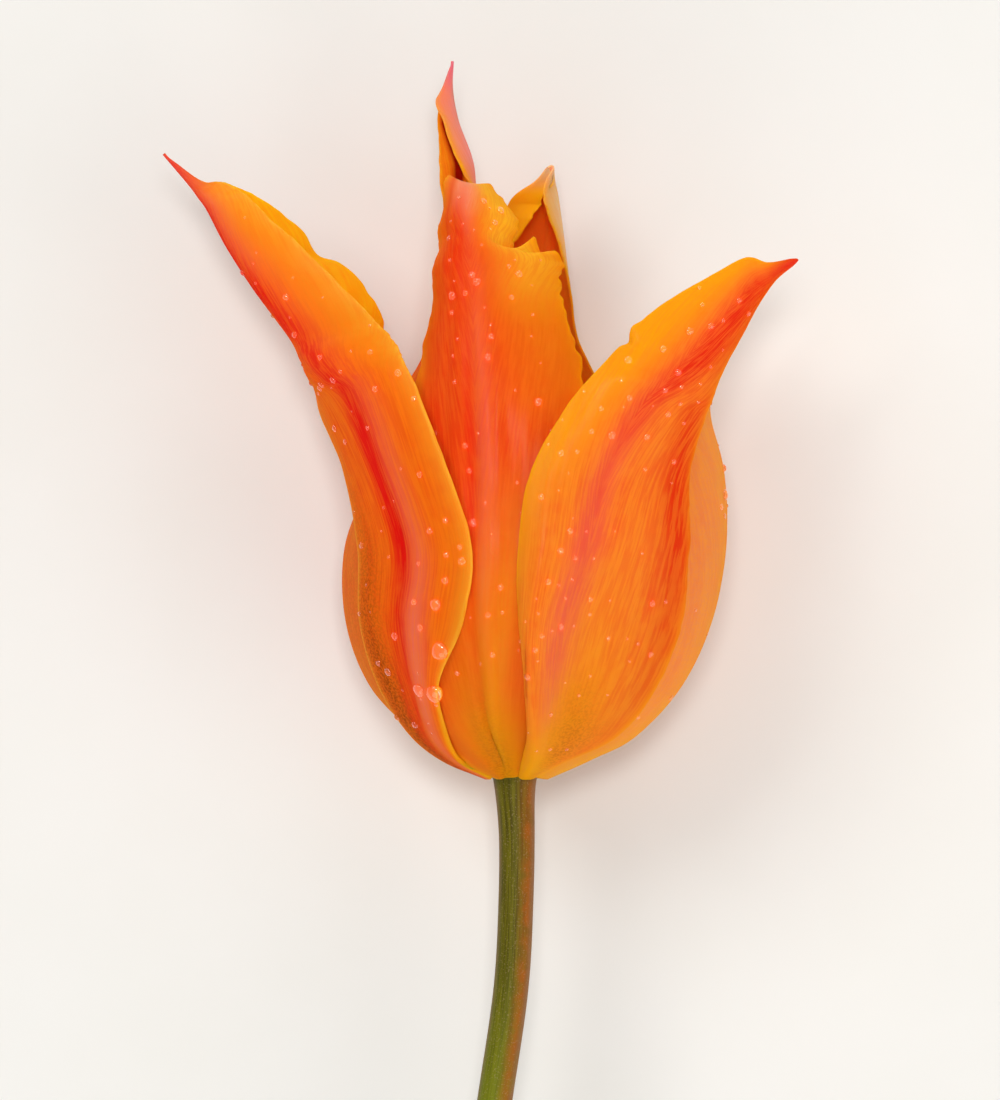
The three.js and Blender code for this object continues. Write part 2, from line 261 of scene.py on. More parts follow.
def build_object(
    name: str,
    points: Array,
    faces: list[Array],
    marks: dict[str, Array],
) -> bpy.types.Object:
    """Puts arrays into a new mesh, in metres in the part's frame, with the object at the origin.

    Args:
        name: the piece's name.
        points: vertices from the bloom's seat, mm.
        faces: arrays of vertex numbers, one array for each count of corners.
        marks: values held by the vertices, by name: single numbers or vectors.

    Returns:
        The new object.
    """
    mesh = bpy.data.meshes.new(name)
    sizes = np.concatenate([np.full(len(part), part.shape[1]) for part in faces])
    corners = np.concatenate([part.ravel() for part in faces]).astype(np.int32)
    mesh.vertices.add(len(points))
    mesh.vertices.foreach_set("co", ((points + SEAT) * MM).astype(np.float32).ravel())
    mesh.loops.add(len(corners))
    mesh.loops.foreach_set("vertex_index", corners)
    mesh.polygons.add(len(sizes))
    starts = np.concatenate([[0], np.cumsum(sizes)[:-1]]).astype(np.int32)
    mesh.polygons.foreach_set("loop_start", starts)
    mesh.polygons.foreach_set("use_smooth", np.ones(len(sizes), bool))
    mesh.update(calc_edges=True)
    for mark, values in marks.items():
        kind = "FLOAT" if values.ndim == 1 else "FLOAT_VECTOR"
        layer = mesh.attributes.new(mark, kind, "POINT")
        field_name = "value" if values.ndim == 1 else "vector"
        layer.data.foreach_set(field_name, values.astype(np.float32).ravel())
    piece = bpy.data.objects.new(name, mesh)
    bpy.context.scene.collection.objects.link(piece)
    return piece


def declare(piece: bpy.types.Object, node: str) -> None:
    """Hangs the piece on the root, hides the CAD node that it stands for and logs it.

    Args:
        piece: the finished object.
        node: the CAD node's name.
    """
    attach(piece, "root")
    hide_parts(node)
    log.info("%s stands for %s: %d faces", piece.name, node, len(piece.data.polygons))


# Small helpers: materials


def linear(colour: str) -> tuple[float, float, float, float]:
    """An sRGB hex colour as linear red, green, blue and alpha.

    Args:
        colour: six hex digits after a hash.

    Returns:
        Four numbers for a colour socket.
    """
    parts = [int(colour[k : k + 2], 16) / 255 for k in (1, 3, 5)]
    low = [c / 12.92 if c <= 0.04045 else ((c + 0.055) / 1.055) ** 2.4 for c in parts]
    return (low[0], low[1], low[2], 1.0)


class Sheet:
    """A material's node tree."""

    def __init__(self, name: str) -> None:
        """Makes an empty material of that name.

        Args:
            name: the material's name.
        """
        self.material = bpy.data.materials.new(name)
        self.material.use_nodes = True
        self.tree = self.material.node_tree
        self.tree.nodes.clear()

    def add(
        self,
        kind: str,
        settings: dict[str, object],
        inputs: dict[str | int, object],
        output: int | str | None = 0,
    ) -> bpy.types.NodeSocket | None:
        """Adds a node with its settings and its links.

        Args:
            kind: the node's type name.
            settings: its properties, by name.
            inputs: by socket name or number, a number, a hex colour or another node's output.
            output: the output to hand back, by name or number, or None for a node without one.

        Returns:
            That output.
        """
        node = self.tree.nodes.new(kind)
        for key, value in settings.items():
            setattr(node, key, value)
        for key, value in inputs.items():
            if isinstance(value, bpy.types.NodeSocket):
                self.tree.links.new(value, node.inputs[key])
            else:
                node.inputs[key].default_value = linear(value) if isinstance(value, str) else value
        return None if output is None else node.outputs[output]


# Finishes


@dataclass(frozen=True)
class Wash:
    """A band of colour along a petal. Each row holds the place along the petal, the band's
    middle and its half width across it, where -1 and 1 are the margins, and its strength."""

    rows: tuple[Row, ...]

    def strength(self, side: Array, along: Array) -> Array:
        """The band's strength: a bell across the petal, its numbers read between the rows.

        Args:
            side: the side of each point, from -1 at the left margin to 1 at the right one.
            along: the place of each point along the petal, 0 to 1.

        Returns:
            The band's strength at each point.
        """
        table = np.array(self.rows)
        middle, width, strength = (np.interp(along, table[:, 0], table[:, k]) for k in (1, 2, 3))
        return strength * np.exp(-(((side - middle) / width) ** 2))


NO_WASH = Wash(((0, 0, 1, 0), (1, 0, 1, 0)))
BASE_CLAW = Wash(((0.0, 0, 1.2, 0.9), (0.1, 0, 1.0, 0.7), (0.2, 0, 1.0, 0.25), (0.3, 0, 1.0, 0.0)))
WASHES = ("stripe", "blush_and_sheen", "glow", "claw", "flush", "band", "painted_shade")


@dataclass(frozen=True)
class PetalSkin:
    """Living petal skin: a thin juicy blade under a waxy, finely ribbed skin. Light sinks in and
    comes back warmer, fine veins run up and fan out, and the sheen is soft and silky."""

    body: str
    vein: str
    rim: str
    inner: str = "#FF9300"
    inner_vein: str = "#F05E0B"
    stripe_colour: str = "#E0160B"
    # A pink tint, partly the petal's own colour and partly a painted sheen where the skin faces the light.
    blush_and_sheen_colour: str = "#F25E3B"
    glow_colour: str = "#FF9201"
    claw_colour: str = "#EB9605"
    # A darker speckled tint laid over the body colour.
    speckled_tint_colour: str = "#A8520E"
    tip_colour: str = "#DE382E"
    # A deeper red laid on the inner face where it lies in shadow: painted shade.
    painted_shade_colour: str = "#C41C06"
    heart_colour: str = "#C9A21E"
    stripe: Wash = NO_WASH
    blush_and_sheen: Wash = NO_WASH
    glow: Wash = NO_WASH
    claw: Wash = NO_WASH
    flush: Wash = NO_WASH
    band: Wash = NO_WASH
    painted_shade: Wash = NO_WASH
    rim_width: float = 2.0
    rim_end: float = 1.1
    tip_from: float = 0.88

    def material(self, name: str) -> bpy.types.Material:
        """Veined body colour, with the washes, the rim and the inner face laid over it.

        Args:
            name: the material's name.

        Returns:
            The material.
        """
        sheet = Sheet(name)
        names = (*WASHES, "calm", "rim", "heart", "inside", "tip")
        marks = {mark: sheet.add(MARK, {"attribute_name": mark}, {}, "Fac") for mark in names}
        grain = sheet.add(MARK, {"attribute_name": "grain"}, {}, "Vector")
        place = sheet.add(PLACE, {}, {}, "Object")
        # veins about 0.4 mm apart, and broader bands of them
        close = sheet.add(MAPPING, {}, {"Vector": grain, "Scale": (42.0, 8.0, 1.0)})
        fine = sheet.add(NOISE, {}, {"Vector": close, "Scale": 1.0, "Detail": 4.0, "Roughness": 0.6})
        wide = sheet.add(MAPPING, {}, {"Vector": grain, "Scale": (6.0, 1.6, 1.0)})
        broad = sheet.add(NOISE, {}, {"Vector": wide, "Scale": 1.0, "Detail": 3.0, "Roughness": 0.55})
        # cells of about 0.3 mm, and clouds of about 2 mm
        specks = sheet.add(NOISE, {}, {"Vector": place, "Scale": 3200.0, "Detail": 2.0, "Roughness": 0.55})
        mottle = sheet.add(NOISE, {}, {"Vector": place, "Scale": 450.0, "Detail": 3.0, "Roughness": 0.55})
        drawn = sheet.add(SPAN, SOFT, {"Value": fine, "From Min": 0.4, "From Max": 0.62})
        lines = sheet.add(MATH, TIMES, {0: drawn, 1: marks["calm"]})
        veins = sheet.add(MATH, TIMES, {0: lines, 1: 0.5})
        bands = sheet.add(SPAN, SOFT, {"Value": broad, "From Min": 0.3, "From Max": 0.75})
        clouds = sheet.add(SPAN, SOFT, {"Value": mottle, "From Min": 0.2, "From Max": 0.7})
        cloudy = sheet.add(MATH, TIMES, {0: bands, 1: clouds})
        veins = sheet.add(MATH, TIMES_PLUS, {0: cloudy, 1: 0.45, 2: veins})
        veined = sheet.add(MATH, TIMES_PLUS, {0: lines, 1: 0.5, 2: 0.62})
        dusty = sheet.add(MATH, TIMES_PLUS, {0: mottle, 1: 0.5, 2: 0.7})
        speckled = sheet.add(SPAN, SOFT, {"Value": specks, "From Min": 0.4, "From Max": 0.64})
        speckled = sheet.add(MATH, TIMES_PLUS, {0: speckled, 1: 0.5, 2: 0.45})
        colour = sheet.add(MIX, COLOURS, {0: veins, UNDER: self.body, OVER: self.vein}, MIXED)
        washes = (
            # pink tint, part own colour and part painted sheen
            ("blush_and_sheen", self.blush_and_sheen_colour, veined),
            ("glow", self.glow_colour, veined),
            ("rim", self.rim, veined),
            ("stripe", self.stripe_colour, veined),
            ("band", self.stripe_colour, veined),
            ("claw", self.claw_colour, dusty),
            ("flush", self.speckled_tint_colour, speckled),
        )
        for mark, wash, patchy in washes:
            share = sheet.add(MATH, TIMES, {0: marks[mark], 1: patchy})
            colour = sheet.add(MIX, COLOURS, {0: share, UNDER: colour, OVER: wash}, MIXED)
        faint = sheet.add(MATH, TIMES, {0: veins, 1: 0.8})
        inner = sheet.add(MIX, COLOURS, {0: faint, UNDER: self.inner, OVER: self.inner_vein}, MIXED)
        # painted shade on the inner face in hollows and slits, then the heart colour near the base
        for mark, wash in (("painted_shade", self.painted_shade_colour), ("heart", self.heart_colour)):
            inner = sheet.add(MIX, COLOURS, {0: marks[mark], UNDER: inner, OVER: wash}, MIXED)
        colour = sheet.add(MIX, COLOURS, {0: marks["inside"], UNDER: colour, OVER: inner}, MIXED)
        tipped = sheet.add(MATH, TIMES, {0: marks["tip"], 1: 0.9})
        colour = sheet.add(MIX, COLOURS, {0: tipped, UNDER: colour, OVER: self.tip_colour}, MIXED)
        ribs = sheet.add(MATH, TIMES, {0: fine, 1: marks["calm"]})
        relief = sheet.add(BUMP, {}, {"Strength": 0.35, "Distance": 0.00008, "Height": ribs})
        cells = {"Strength": 0.2, "Distance": 0.00003, "Height": specks, "Normal": relief}
        skin = {
            "Base Color": colour,
            "Roughness": 0.4,
            "IOR": 1.42,
            "Subsurface Weight": 0.6,
            "Subsurface Radius": (1.0, 0.4, 0.12),
            "Subsurface Scale": 0.0016,
            "Specular IOR Level": 0.0,
            "Coat Weight": 0.05,
            "Coat Roughness": 0.25,
            "Normal": sheet.add(BUMP, {}, cells),
        }
        sheet.add(OUTPUT, {}, {"Surface": sheet.add(SHADER, {}, skin)}, None)
        return sheet.material


@dataclass(frozen=True)
class StemSkin:
    """Living stem skin: a smooth, fleshy stalk under a thin waxy bloom. It is olive green, flushed
    rusty brown on one side, with fine lines along it and a dusty, satin sheen."""

    green: str = "#6C6610"
    deep: str = "#4A4408"
    rust: str = "#A0560E"
    mauve: str = "#8A6238"
    young: str = "#8CA01C"
    wax: str = "#B89E70"
    flesh: str = "#C9D49A"

    def material(self) -> bpy.types.Material:
        """Green down the middle, rust on the right, mauve along both sides, speckled with wax.

        Returns:
            The material.
        """
        sheet = Sheet("stem_skin_waxy")
        names = ("low", "rust", "edge", "cut")
        marks = {mark: sheet.add(MARK, {"attribute_name": mark}, {}, "Fac") for mark in names}
        grain = sheet.add(MARK, {"attribute_name": "grain"}, {}, "Vector")
        place = sheet.add(PLACE, {}, {}, "Object")
        # lines about 0.4 mm apart
        drawn = sheet.add(MAPPING, {}, {"Vector": grain, "Scale": (9.0, 0.16, 1.0)})
        lines = sheet.add(NOISE, {}, {"Vector": drawn, "Scale": 1.0, "Detail": 4.0, "Roughness": 0.6})
        mottle = sheet.add(NOISE, {}, {"Vector": place, "Scale": 420.0, "Detail": 4.0, "Roughness": 0.6})
        dust = sheet.add(NOISE, {}, {"Vector": place, "Scale": 5200.0, "Detail": 1.0, "Roughness": 0.55})
        striped = sheet.add(SPAN, SOFT, {"Value": lines, "From Min": 0.3, "From Max": 0.7})
        patchy = sheet.add(SPAN, SOFT, {"Value": mottle, "From Min": 0.35, "From Max": 0.65})
        patchy = sheet.add(MATH, TIMES_PLUS, {0: patchy, 1: 0.6, 2: 0.5})
        waxy = sheet.add(SPAN, SOFT, {"Value": dust, "From Min": 0.58, "From Max": 0.72})
        layers = (
            (striped, self.deep),
            (marks["low"], self.young),
            (sheet.add(MATH, TIMES, {0: marks["rust"], 1: patchy}), self.rust),
            (sheet.add(MATH, TIMES, {0: marks["edge"], 1: patchy}), self.mauve),
            (sheet.add(MATH, TIMES, {0: waxy, 1: 0.25}), self.wax),
            (marks["cut"], self.flesh),
        )
        colour = self.green
        for share, wash in layers:
            colour = sheet.add(MIX, COLOURS, {0: share, UNDER: colour, OVER: wash}, MIXED)
        relief = {"Strength": 0.4, "Distance": 0.00008, "Height": lines}
        skin = {
            "Base Color": colour,
            "Roughness": 0.46,
            "IOR": 1.4,
            "Specular IOR Level": 0.18,
            "Subsurface Weight": 0.15,
            "Subsurface Radius": (0.6, 0.7, 0.2),
            "Subsurface Scale": 0.001,
            "Normal": sheet.add(BUMP, {}, relief),
        }
        sheet.add(OUTPUT, {}, {"Surface": sheet.add(SHADER, {}, skin)}, None)
        return sheet.material


@dataclass(frozen=True)
class HeartSkin:
    """Fleshy or powdery flower parts in two colours, mottled softly: smooth on the ovary and the
    filaments, dry and grainy on the pollen sacs."""

    low: str
    high: str
    roughness: float
    grain_mm: float
    relief_mm: float

    def material(self, name: str) -> bpy.types.Material:
        """The lower colour runs into the upper one along the piece, over a fine grain.

        Args:
            name: the material's name.

        Returns:
            The material.
        """
        sheet = Sheet(name)
        rise = sheet.add(MARK, {"attribute_name": "rise"}, {}, "Fac")
        place = sheet.add(PLACE, {}, {}, "Object")
        grains = {"Vector": place, "Scale": 1.0 / (self.grain_mm * MM), "Detail": 3.0, "Roughness": 0.6}
        grain = sheet.add(NOISE, {}, grains)
        share = sheet.add(SPAN, SOFT, {"Value": grain, "From Min": 0.3, "From Max": 0.7})
        share = sheet.add(MATH, TIMES_PLUS, {0: share, 1: 0.3, 2: rise})
        colour = sheet.add(MIX, COLOURS, {0: share, UNDER: self.low, OVER: self.high}, MIXED)
        lump = {"Strength": 0.6, "Distance": self.relief_mm * MM, "Height": grain}
        skin = {
            "Base Color": colour,
            "Roughness": self.roughness,
            "IOR": 1.42,
            "Subsurface Weight": 0.1,
            "Subsurface Radius": (0.5, 0.5, 0.2),
            "Subsurface Scale": 0.001,
            "Normal": sheet.add(BUMP, {}, lump),
        }
        sheet.add(OUTPUT, {}, {"Surface": sheet.add(SHADER, {}, skin)}, None)
        return sheet.material


@dataclass(frozen=True)
class Water:
    """Rain water beaded on a waxy skin: small domes with a mirror-smooth surface, painted pale
    where the light gathers in them as a painted highlight and darker round their feet as painted shade."""

    # the pale colour is a painted highlight, the foot colour a painted shade round each drop's rim
    pale: str = "#FFE6B8"
    foot: str = "#EE9838"

    def material(self) -> bpy.types.Material:
        """Clear and smooth, with water's own refraction, a little milky; its pale colour is a painted
        highlight and its darker foot a painted shade.

        Returns:
            The material.
        """
        sheet = Sheet("water_clear")
        low = sheet.add(MARK, {"attribute_name": "foot"}, {}, "Fac")
        clear = {
            "Base Color": sheet.add(MIX, COLOURS, {0: low, UNDER: self.pale, OVER: self.foot}, MIXED),
            "Roughness": 0.03,
            "IOR": 1.333,
            "Transmission Weight": 0.94,
            "Coat Weight": 1.0,
            "Coat IOR": 1.45,
            "Coat Roughness": 0.03,
        }
        sheet.add(OUTPUT, {}, {"Surface": sheet.add(SHADER, {}, clear)}, None)
        return sheet.material


@dataclass(frozen=True)
class PaleBoard:
    """Matt painted board: a plain pale surface with a barely visible tooth."""

    colour: str = "#EAEAE8"
    shade: str = "#E8E8E5"

    def material(self) -> bpy.types.Material:
        """Two near whites in a soft mottle, fully matt.

        Returns:
            The material.
        """
        sheet = Sheet("board_painted_matt")
        place = sheet.add(PLACE, {}, {}, "Object")
        clouds = {"Vector": place, "Scale": 30.0, "Detail": 4.0, "Roughness": 0.55}
        mottle = sheet.add(NOISE, {}, clouds)
        share = sheet.add(SPAN, SOFT, {"Value": mottle, "From Min": 0.3, "From Max": 0.7})
        colour = sheet.add(MIX, COLOURS, {0: share, UNDER: self.colour, OVER: self.shade}, MIXED)
        matt = {"Base Color": colour, "Roughness": 0.75, "Specular IOR Level": 0.3}
        sheet.add(OUTPUT, {}, {"Surface": sheet.add(SHADER, {}, matt)}, None)
        return sheet.material


# Petals


@dataclass(frozen=True)
class Dent:
    """A soft hollow, or a swelling where the depth is negative: its place, its reach each way,
    as shares of the petal, and its depth in mm."""

    side: float
    along: float
    wide: float
    tall: float
    depth: float

    def depth_at(self, side: Array, along: Array) -> Array:
        """A bell each way."""
        off = ((side - self.side) / self.wide) ** 2 + ((along - self.along) / self.tall) ** 2
        return self.depth * np.exp(-off)


@dataclass(frozen=True)
class Ridge:
    """A fine ridge that runs along a petal, or a groove where its height is negative: its side,
    its width towards the left and towards the right margin, its height in mm, and where it
    starts and ends along the petal."""

    side: float
    left: float
    right: float
    height: float
    start: float
    end: float

    def height_at(self, side: Array, along: Array) -> Array:
        """A lopsided bell across the petal that fades in and out along it.

        Args:
            side: the side of each point, from -1 at the left margin to 1 at the right one.
            along: the place of each point along the petal, 0 to 1.

        Returns:
            The height at each point, mm.
        """
        width = np.where(side < self.side, self.left, self.right)
        bell = np.exp(-(((side - self.side) / width) ** 2))
        shown = smoothstep(along, self.start, self.start + RIDGE_FADE)
        return self.height * bell * shown * (1.0 - smoothstep(along, self.end - RIDGE_FADE, self.end))


@dataclass(frozen=True)
class Fold:
    """A curl or a jag of a margin: it starts at one side, is full at the next, is strongest at a
    place along the petal, fades within its reach, and moves the skin by a shift in mm."""

    start: float
    full: float
    along: float
    reach: float
    shift: Point

    def shift_at(self, side: Array, along: Array) -> Array:
        """The shift, its share growing with the square root of the third power towards the side.

        Args:
            side: the side of each point, from -1 at the left margin to 1 at the right one.
            along: the place of each point along the petal, 0 to 1.

        Returns:
            The shift of each point, mm.
        """
        share = np.clip((side - self.start) / (self.full - self.start), 0.0, 1.3) ** 1.5
        bell = np.exp(-(((along - self.along) / self.reach) ** 2))
        return (share * bell)[..., None] * np.array(self.shift)


@dataclass(frozen=True)
class Curl:
    """A margin that rolls over: each row holds the place along the petal, the side where the
    roll starts, negative for the left margin, and how far the margin itself moves, mm."""

    rows: tuple[Row, ...]

    def shift_at(self, side: Array, along: Array) -> Array:
        """The shift, its share growing with the root of the third power towards the margin.

        Args:
            side: the side of each point, from -1 at the left margin to 1 at the right one.
            along: the place of each point along the petal, 0 to 1.

        Returns:
            The shift of each point, mm.
        """
        table = np.array(self.rows)
        start, *shift = (np.interp(along, table[:, 0], table[:, k]) for k in (1, 2, 3, 4))
        share = np.clip((side - start) / (np.sign(start) - start), 0.0, 1.2) ** 1.5
        return share[..., None] * np.stack(shift, axis=-1)


@dataclass
class Petal:
    """One petal. The cup rows hold a height, the midrib's lift off the cup, and the azimuths of
    the left margin, the midrib and the right margin; the blade rows hold those three as points,
    in mm from the bloom's seat; then comes the tip."""

    node: str
    slot: str
    edge_lift: float
    wave: tuple[float, float]  # the ripple's height at the left and the right margin, mm
    waves: float
    cup: tuple[Row, ...]
    blade: tuple[tuple[Point, Point, Point], ...]
    tip: Point
    skin: PetalSkin
    seed: int
    nibble: float = 0.012
    nibble_rates: tuple[float, float] = (7, 60)  # slowest and fastest waves of it along the petal
    crimp: float = 0.3  # the finer part of the ripple, as a share of it
    crimp_rates: tuple[float, float] = (12, 40)
    vein_height: float = 0.03
    vein_rates: tuple[float, float] = (3.0, 13.0)
    rounded_from: float = 0.975  # where the margins start to round off towards the tip
    rounded_over: float = 0.026
    dents: tuple[Dent, ...] = ()
    ridges: tuple[Ridge, ...] = (Ridge(0.0, 0.05, 0.05, -0.15, 0.05, 0.95),)
    folds: tuple[Fold | Curl, ...] = ()
    rows: int = 300
    columns: int = 64
    rim_steps: int = 5
    thickness: float = 0.6
    rim_thickness: float = 0.3
    tip_thinning: float = 0.45
    tip_half_width: float = 0.22

    def __post_init__(self) -> None:
        """Works out the petal's stations once."""
        cup = np.array(self.cup)
        rise = self.edge_lift * smoothstep(cup[:, 0], CUP_FLOOR, CLAW_HEIGHT)
        lifts = np.stack([cup[:, 1] + rise, cup[:, 1], cup[:, 1] + rise], axis=1)
        low = on_cup(cup[:, 2:5], lifts, np.repeat(cup[:, :1], 3, axis=1))
        high = np.array(self.blade)
        across = unit(high[-1, 2] - high[-1, 0]) * self.tip_half_width
        tip = np.array(self.tip)
        end = np.array([[tip - across, tip, tip + across]])
        self.stations = np.concatenate([low, high, end])
        self.start = len(cup) / (len(cup) + len(high))

    def smooth(self, side: Array, along: Array) -> Array:
        """The plain sheet: across each station, the parabola through margin, midrib, margin,
        then moved by the folds.

        Args:
            side: the side of each point, from -1 at the left margin to 1 at the right one.
            along: the place of each point along the petal, 0 to 1.

        Returns:
            The points, mm.
        """
        line = even_spline(self.stations, along)
        left, middle, right = line[..., 0, :], line[..., 1, :], line[..., 2, :]
        s = side[..., None]
        plain = middle + (right - left) / 2 * s + ((right + left) / 2 - middle) * s * s
        return plain + sum(fold.shift_at(side, along) for fold in self.folds)

    def trimmed(self, side: Array, along: Array) -> Array:
        """The side after the margin's unevenness: nibbled a little and rounded off at the tip.

        Args:
            side: the side of each point, from -1 at the left margin to 1 at the right one.
            along: the place of each point along the petal, 0 to 1.

        Returns:
            The side that each point then lies at.
        """
        right = ragged(along, self.seed, *self.nibble_rates)
        left = ragged(along, self.seed + 1, *self.nibble_rates)
        uneven = np.where(side > 0, right, left)
        free = smoothstep(along, 0.12, 0.3)
        tight = 1.0 - self.nibble * free * (1.0 + uneven) * np.abs(side) ** 8
        past = np.clip((along - self.rounded_from) / self.rounded_over, 0, 1)
        return side * tight * np.sqrt(np.maximum(1.0 - past**2, 0.0))

    def relief(self, side: Array, along: Array) -> Array:
        """How far the sheet stands off its plain shape, mm: the ripple of the margins, the
        ridges and grooves, slow buckles between the veins, and the dents.

        Args:
            side: the side of each point, from -1 at the left margin to 1 at the right one.
            along: the place of each point along the petal, 0 to 1.

        Returns:
            The height at each point, mm.
        """
        free = smoothstep(along, self.start - 0.1, self.start + 0.15)
        fade = 1.0 - smoothstep(along, 0.86, 1.0)
        wave = np.where(side > 0, self.wave[1], self.wave[0])
        phase = np.where(side > 0, 0.0, 2.0)
        ripple = np.sin(2 * math.pi * self.waves * along + phase) * np.abs(side) ** 3
        crimp = self.crimp * ragged(along + 0.05 * side, self.seed + 2, *self.crimp_rates)
        crimp = crimp * np.abs(side) ** 5
        grown = smoothstep(along, 0.05, 0.3) * (1.0 - smoothstep(along, 0.45, 0.85))
        veins = self.vein_height * ragged(fan(side, along) + 3.0, self.seed + 3, *self.vein_rates)
        height = wave * (ripple + crimp) * free * fade + veins * grown
        height = height + sum(ridge.height_at(side, along) for ridge in self.ridges)
        return height - sum(dent.depth_at(side, along) for dent in self.dents)

    def sheet(self, side: Array, along: Array) -> Array:
        """The petal's middle surface: the plain sheet moved along its normal by the relief."""
        off = outward(self.smooth, side, along)
        return self.smooth(side, along) + off * self.relief(side, along)[..., None]

    def half_thickness(self, side: Array, along: Array) -> Array:
        """Half the blade's thickness, mm: thinner towards the margins and the tip."""
        thin = self.rim_thickness + (self.thickness - self.rim_thickness) * (1 - np.abs(side) ** 4)
        return 0.5 * thin * (1.0 - self.tip_thinning * smoothstep(along, 0.7, 1.0))

    def ring(self) -> tuple[Array, Array, Array]:
        """One turn round the petal's section: the side of each point, its share of the thickness
        out of the sheet (1 outer face, -1 inner face) and its share past the margin.

        Returns:
            The sides, the shares out and the shares past.
        """
        flat = np.linspace(-1.0, 1.0, self.columns + 1)
        turn = np.linspace(0.0, math.pi, self.rim_steps + 1)[1:-1]
        side = np.concatenate([flat, np.ones(len(turn)), flat[::-1], -np.ones(len(turn))])
        out = np.concatenate([np.ones(len(flat)), np.cos(turn), -np.ones(len(flat)), -np.cos(turn)])
        past = np.concatenate([0 * flat, np.sin(turn), 0 * flat, -np.sin(turn)])
        return side, out, past

    def caps(self) -> list[Array]:
        """Faces that close both ends: a strip between the two faces and a fan in each rim.

        Returns:
            Arrays of vertex numbers, one for each strip or pair of fans.
        """
        count, steps = self.columns, self.rim_steps
        size = 2 * (count + 1) + 2 * (steps - 1)
        low = np.arange(count)
        far = 2 * count + steps - low
        strip = np.stack([low, far, far - 1, low + 1], axis=-1)
        bend = np.arange(count, count + steps - 1)
        right = np.stack([np.full(len(bend), count + steps), bend + 1, bend], axis=-1)
        bend = np.arange(size - steps + 1, size)
        left = np.stack([np.full(len(bend), size - steps), (bend + 1) % size, bend], axis=-1)
        quads, fans = strip, np.concatenate([right, left])
        last = self.rows * size
        return [quads, quads[:, ::-1] + last, fans, fans[:, ::-1] + last]

    def build(self) -> bpy.types.Object:
        """Builds the petal as one closed skin, a ring carried along it.

        Returns:
            The petal's object, with the marks that its material reads.
        """
        side, out, past = self.ring()
        along = np.linspace(0.0, 1.0, self.rows + 1)
        s, t = np.meshgrid(side, along)
        trimmed = self.trimmed(s, t)
        middle = self.sheet(trimmed, t)
        normal = outward(self.sheet, trimmed, t)
        slope = self.sheet(trimmed + SLOPE_STEP, t) - self.sheet(trimmed - SLOPE_STEP, t)
        across = unit(slope) * np.sign(s)[..., None]
        half = self.half_thickness(s, t)[..., None]
        points = middle + half * (out[:, None] * normal + np.abs(past)[:, None] * across)
        floor = np.where(out > 0, 0.0, self.thickness) - SEAT[2]
        points[..., 2] = np.maximum(points[..., 2], floor)
        marks = self.marks(s, t, middle, np.broadcast_to(out, s.shape))
        faces = [closed_grid_faces(len(along), len(side)), *self.caps()]
        flat_marks = {key: value.reshape(-1, *value.shape[2:]) for key, value in marks.items()}
        return build_object(f"{self.node}_fine", points.reshape(-1, 3), faces, flat_marks)

    def marks(self, side: Array, along: Array, middle: Array, out: Array) -> dict[str, Array]:
        """What the skin reads at each point: the veins' own coordinates, the strength of each
        wash, the nearness of the margin, and whether the point is on the inner face.

        Args:
            side: the side of each point.
            along: the place along the petal.
            middle: the middle surface, mm.
            out: 1 on the outer face, -1 on the inner face.

        Returns:
            The marks, by name.
        """
        row = np.linalg.norm(np.diff(middle[:, : self.columns + 1], axis=1), axis=-1)
        width = row.sum(axis=1)[:, None] / 2
        margin = (1.0 - np.abs(side)) * width
        skin = self.skin
        inside = smoothstep(-out, -0.2, 0.6)
        rim = 0.8 * np.exp(-margin / (skin.rim_width * (0.5 + along))) * smoothstep(along, 0.08, 0.3)
        rim = np.maximum(rim, np.exp(-((margin / 0.4) ** 2)))
        rim = rim * (1.0 - smoothstep(along, skin.rim_end - 0.2, skin.rim_end))
        return {
            "grain": np.stack(
                [fan(side, along), along * 3.0, self.seed + 2.0 * inside + 0.8 * side], axis=-1
            ),
            "calm": smoothstep(along, 0.05, 0.25) * (1.0 - 0.6 * smoothstep(along, 0.75, 0.95)),
            **{wash: getattr(skin, wash).strength(side, along) for wash in WASHES},
            "rim": rim,
            "tip": smoothstep(along, skin.tip_from, 1.0),
            "inside": inside,
            "heart": 0.8 * (1.0 - smoothstep(along, 0.05, 0.3)),
        }

    def dress(self, piece: bpy.types.Object) -> None:
        """Gives the petal its skin and its place in the part."""
        piece.data.materials.append(self.skin.material(f"petal_skin_{self.slot}"))
        declare(piece, self.node)


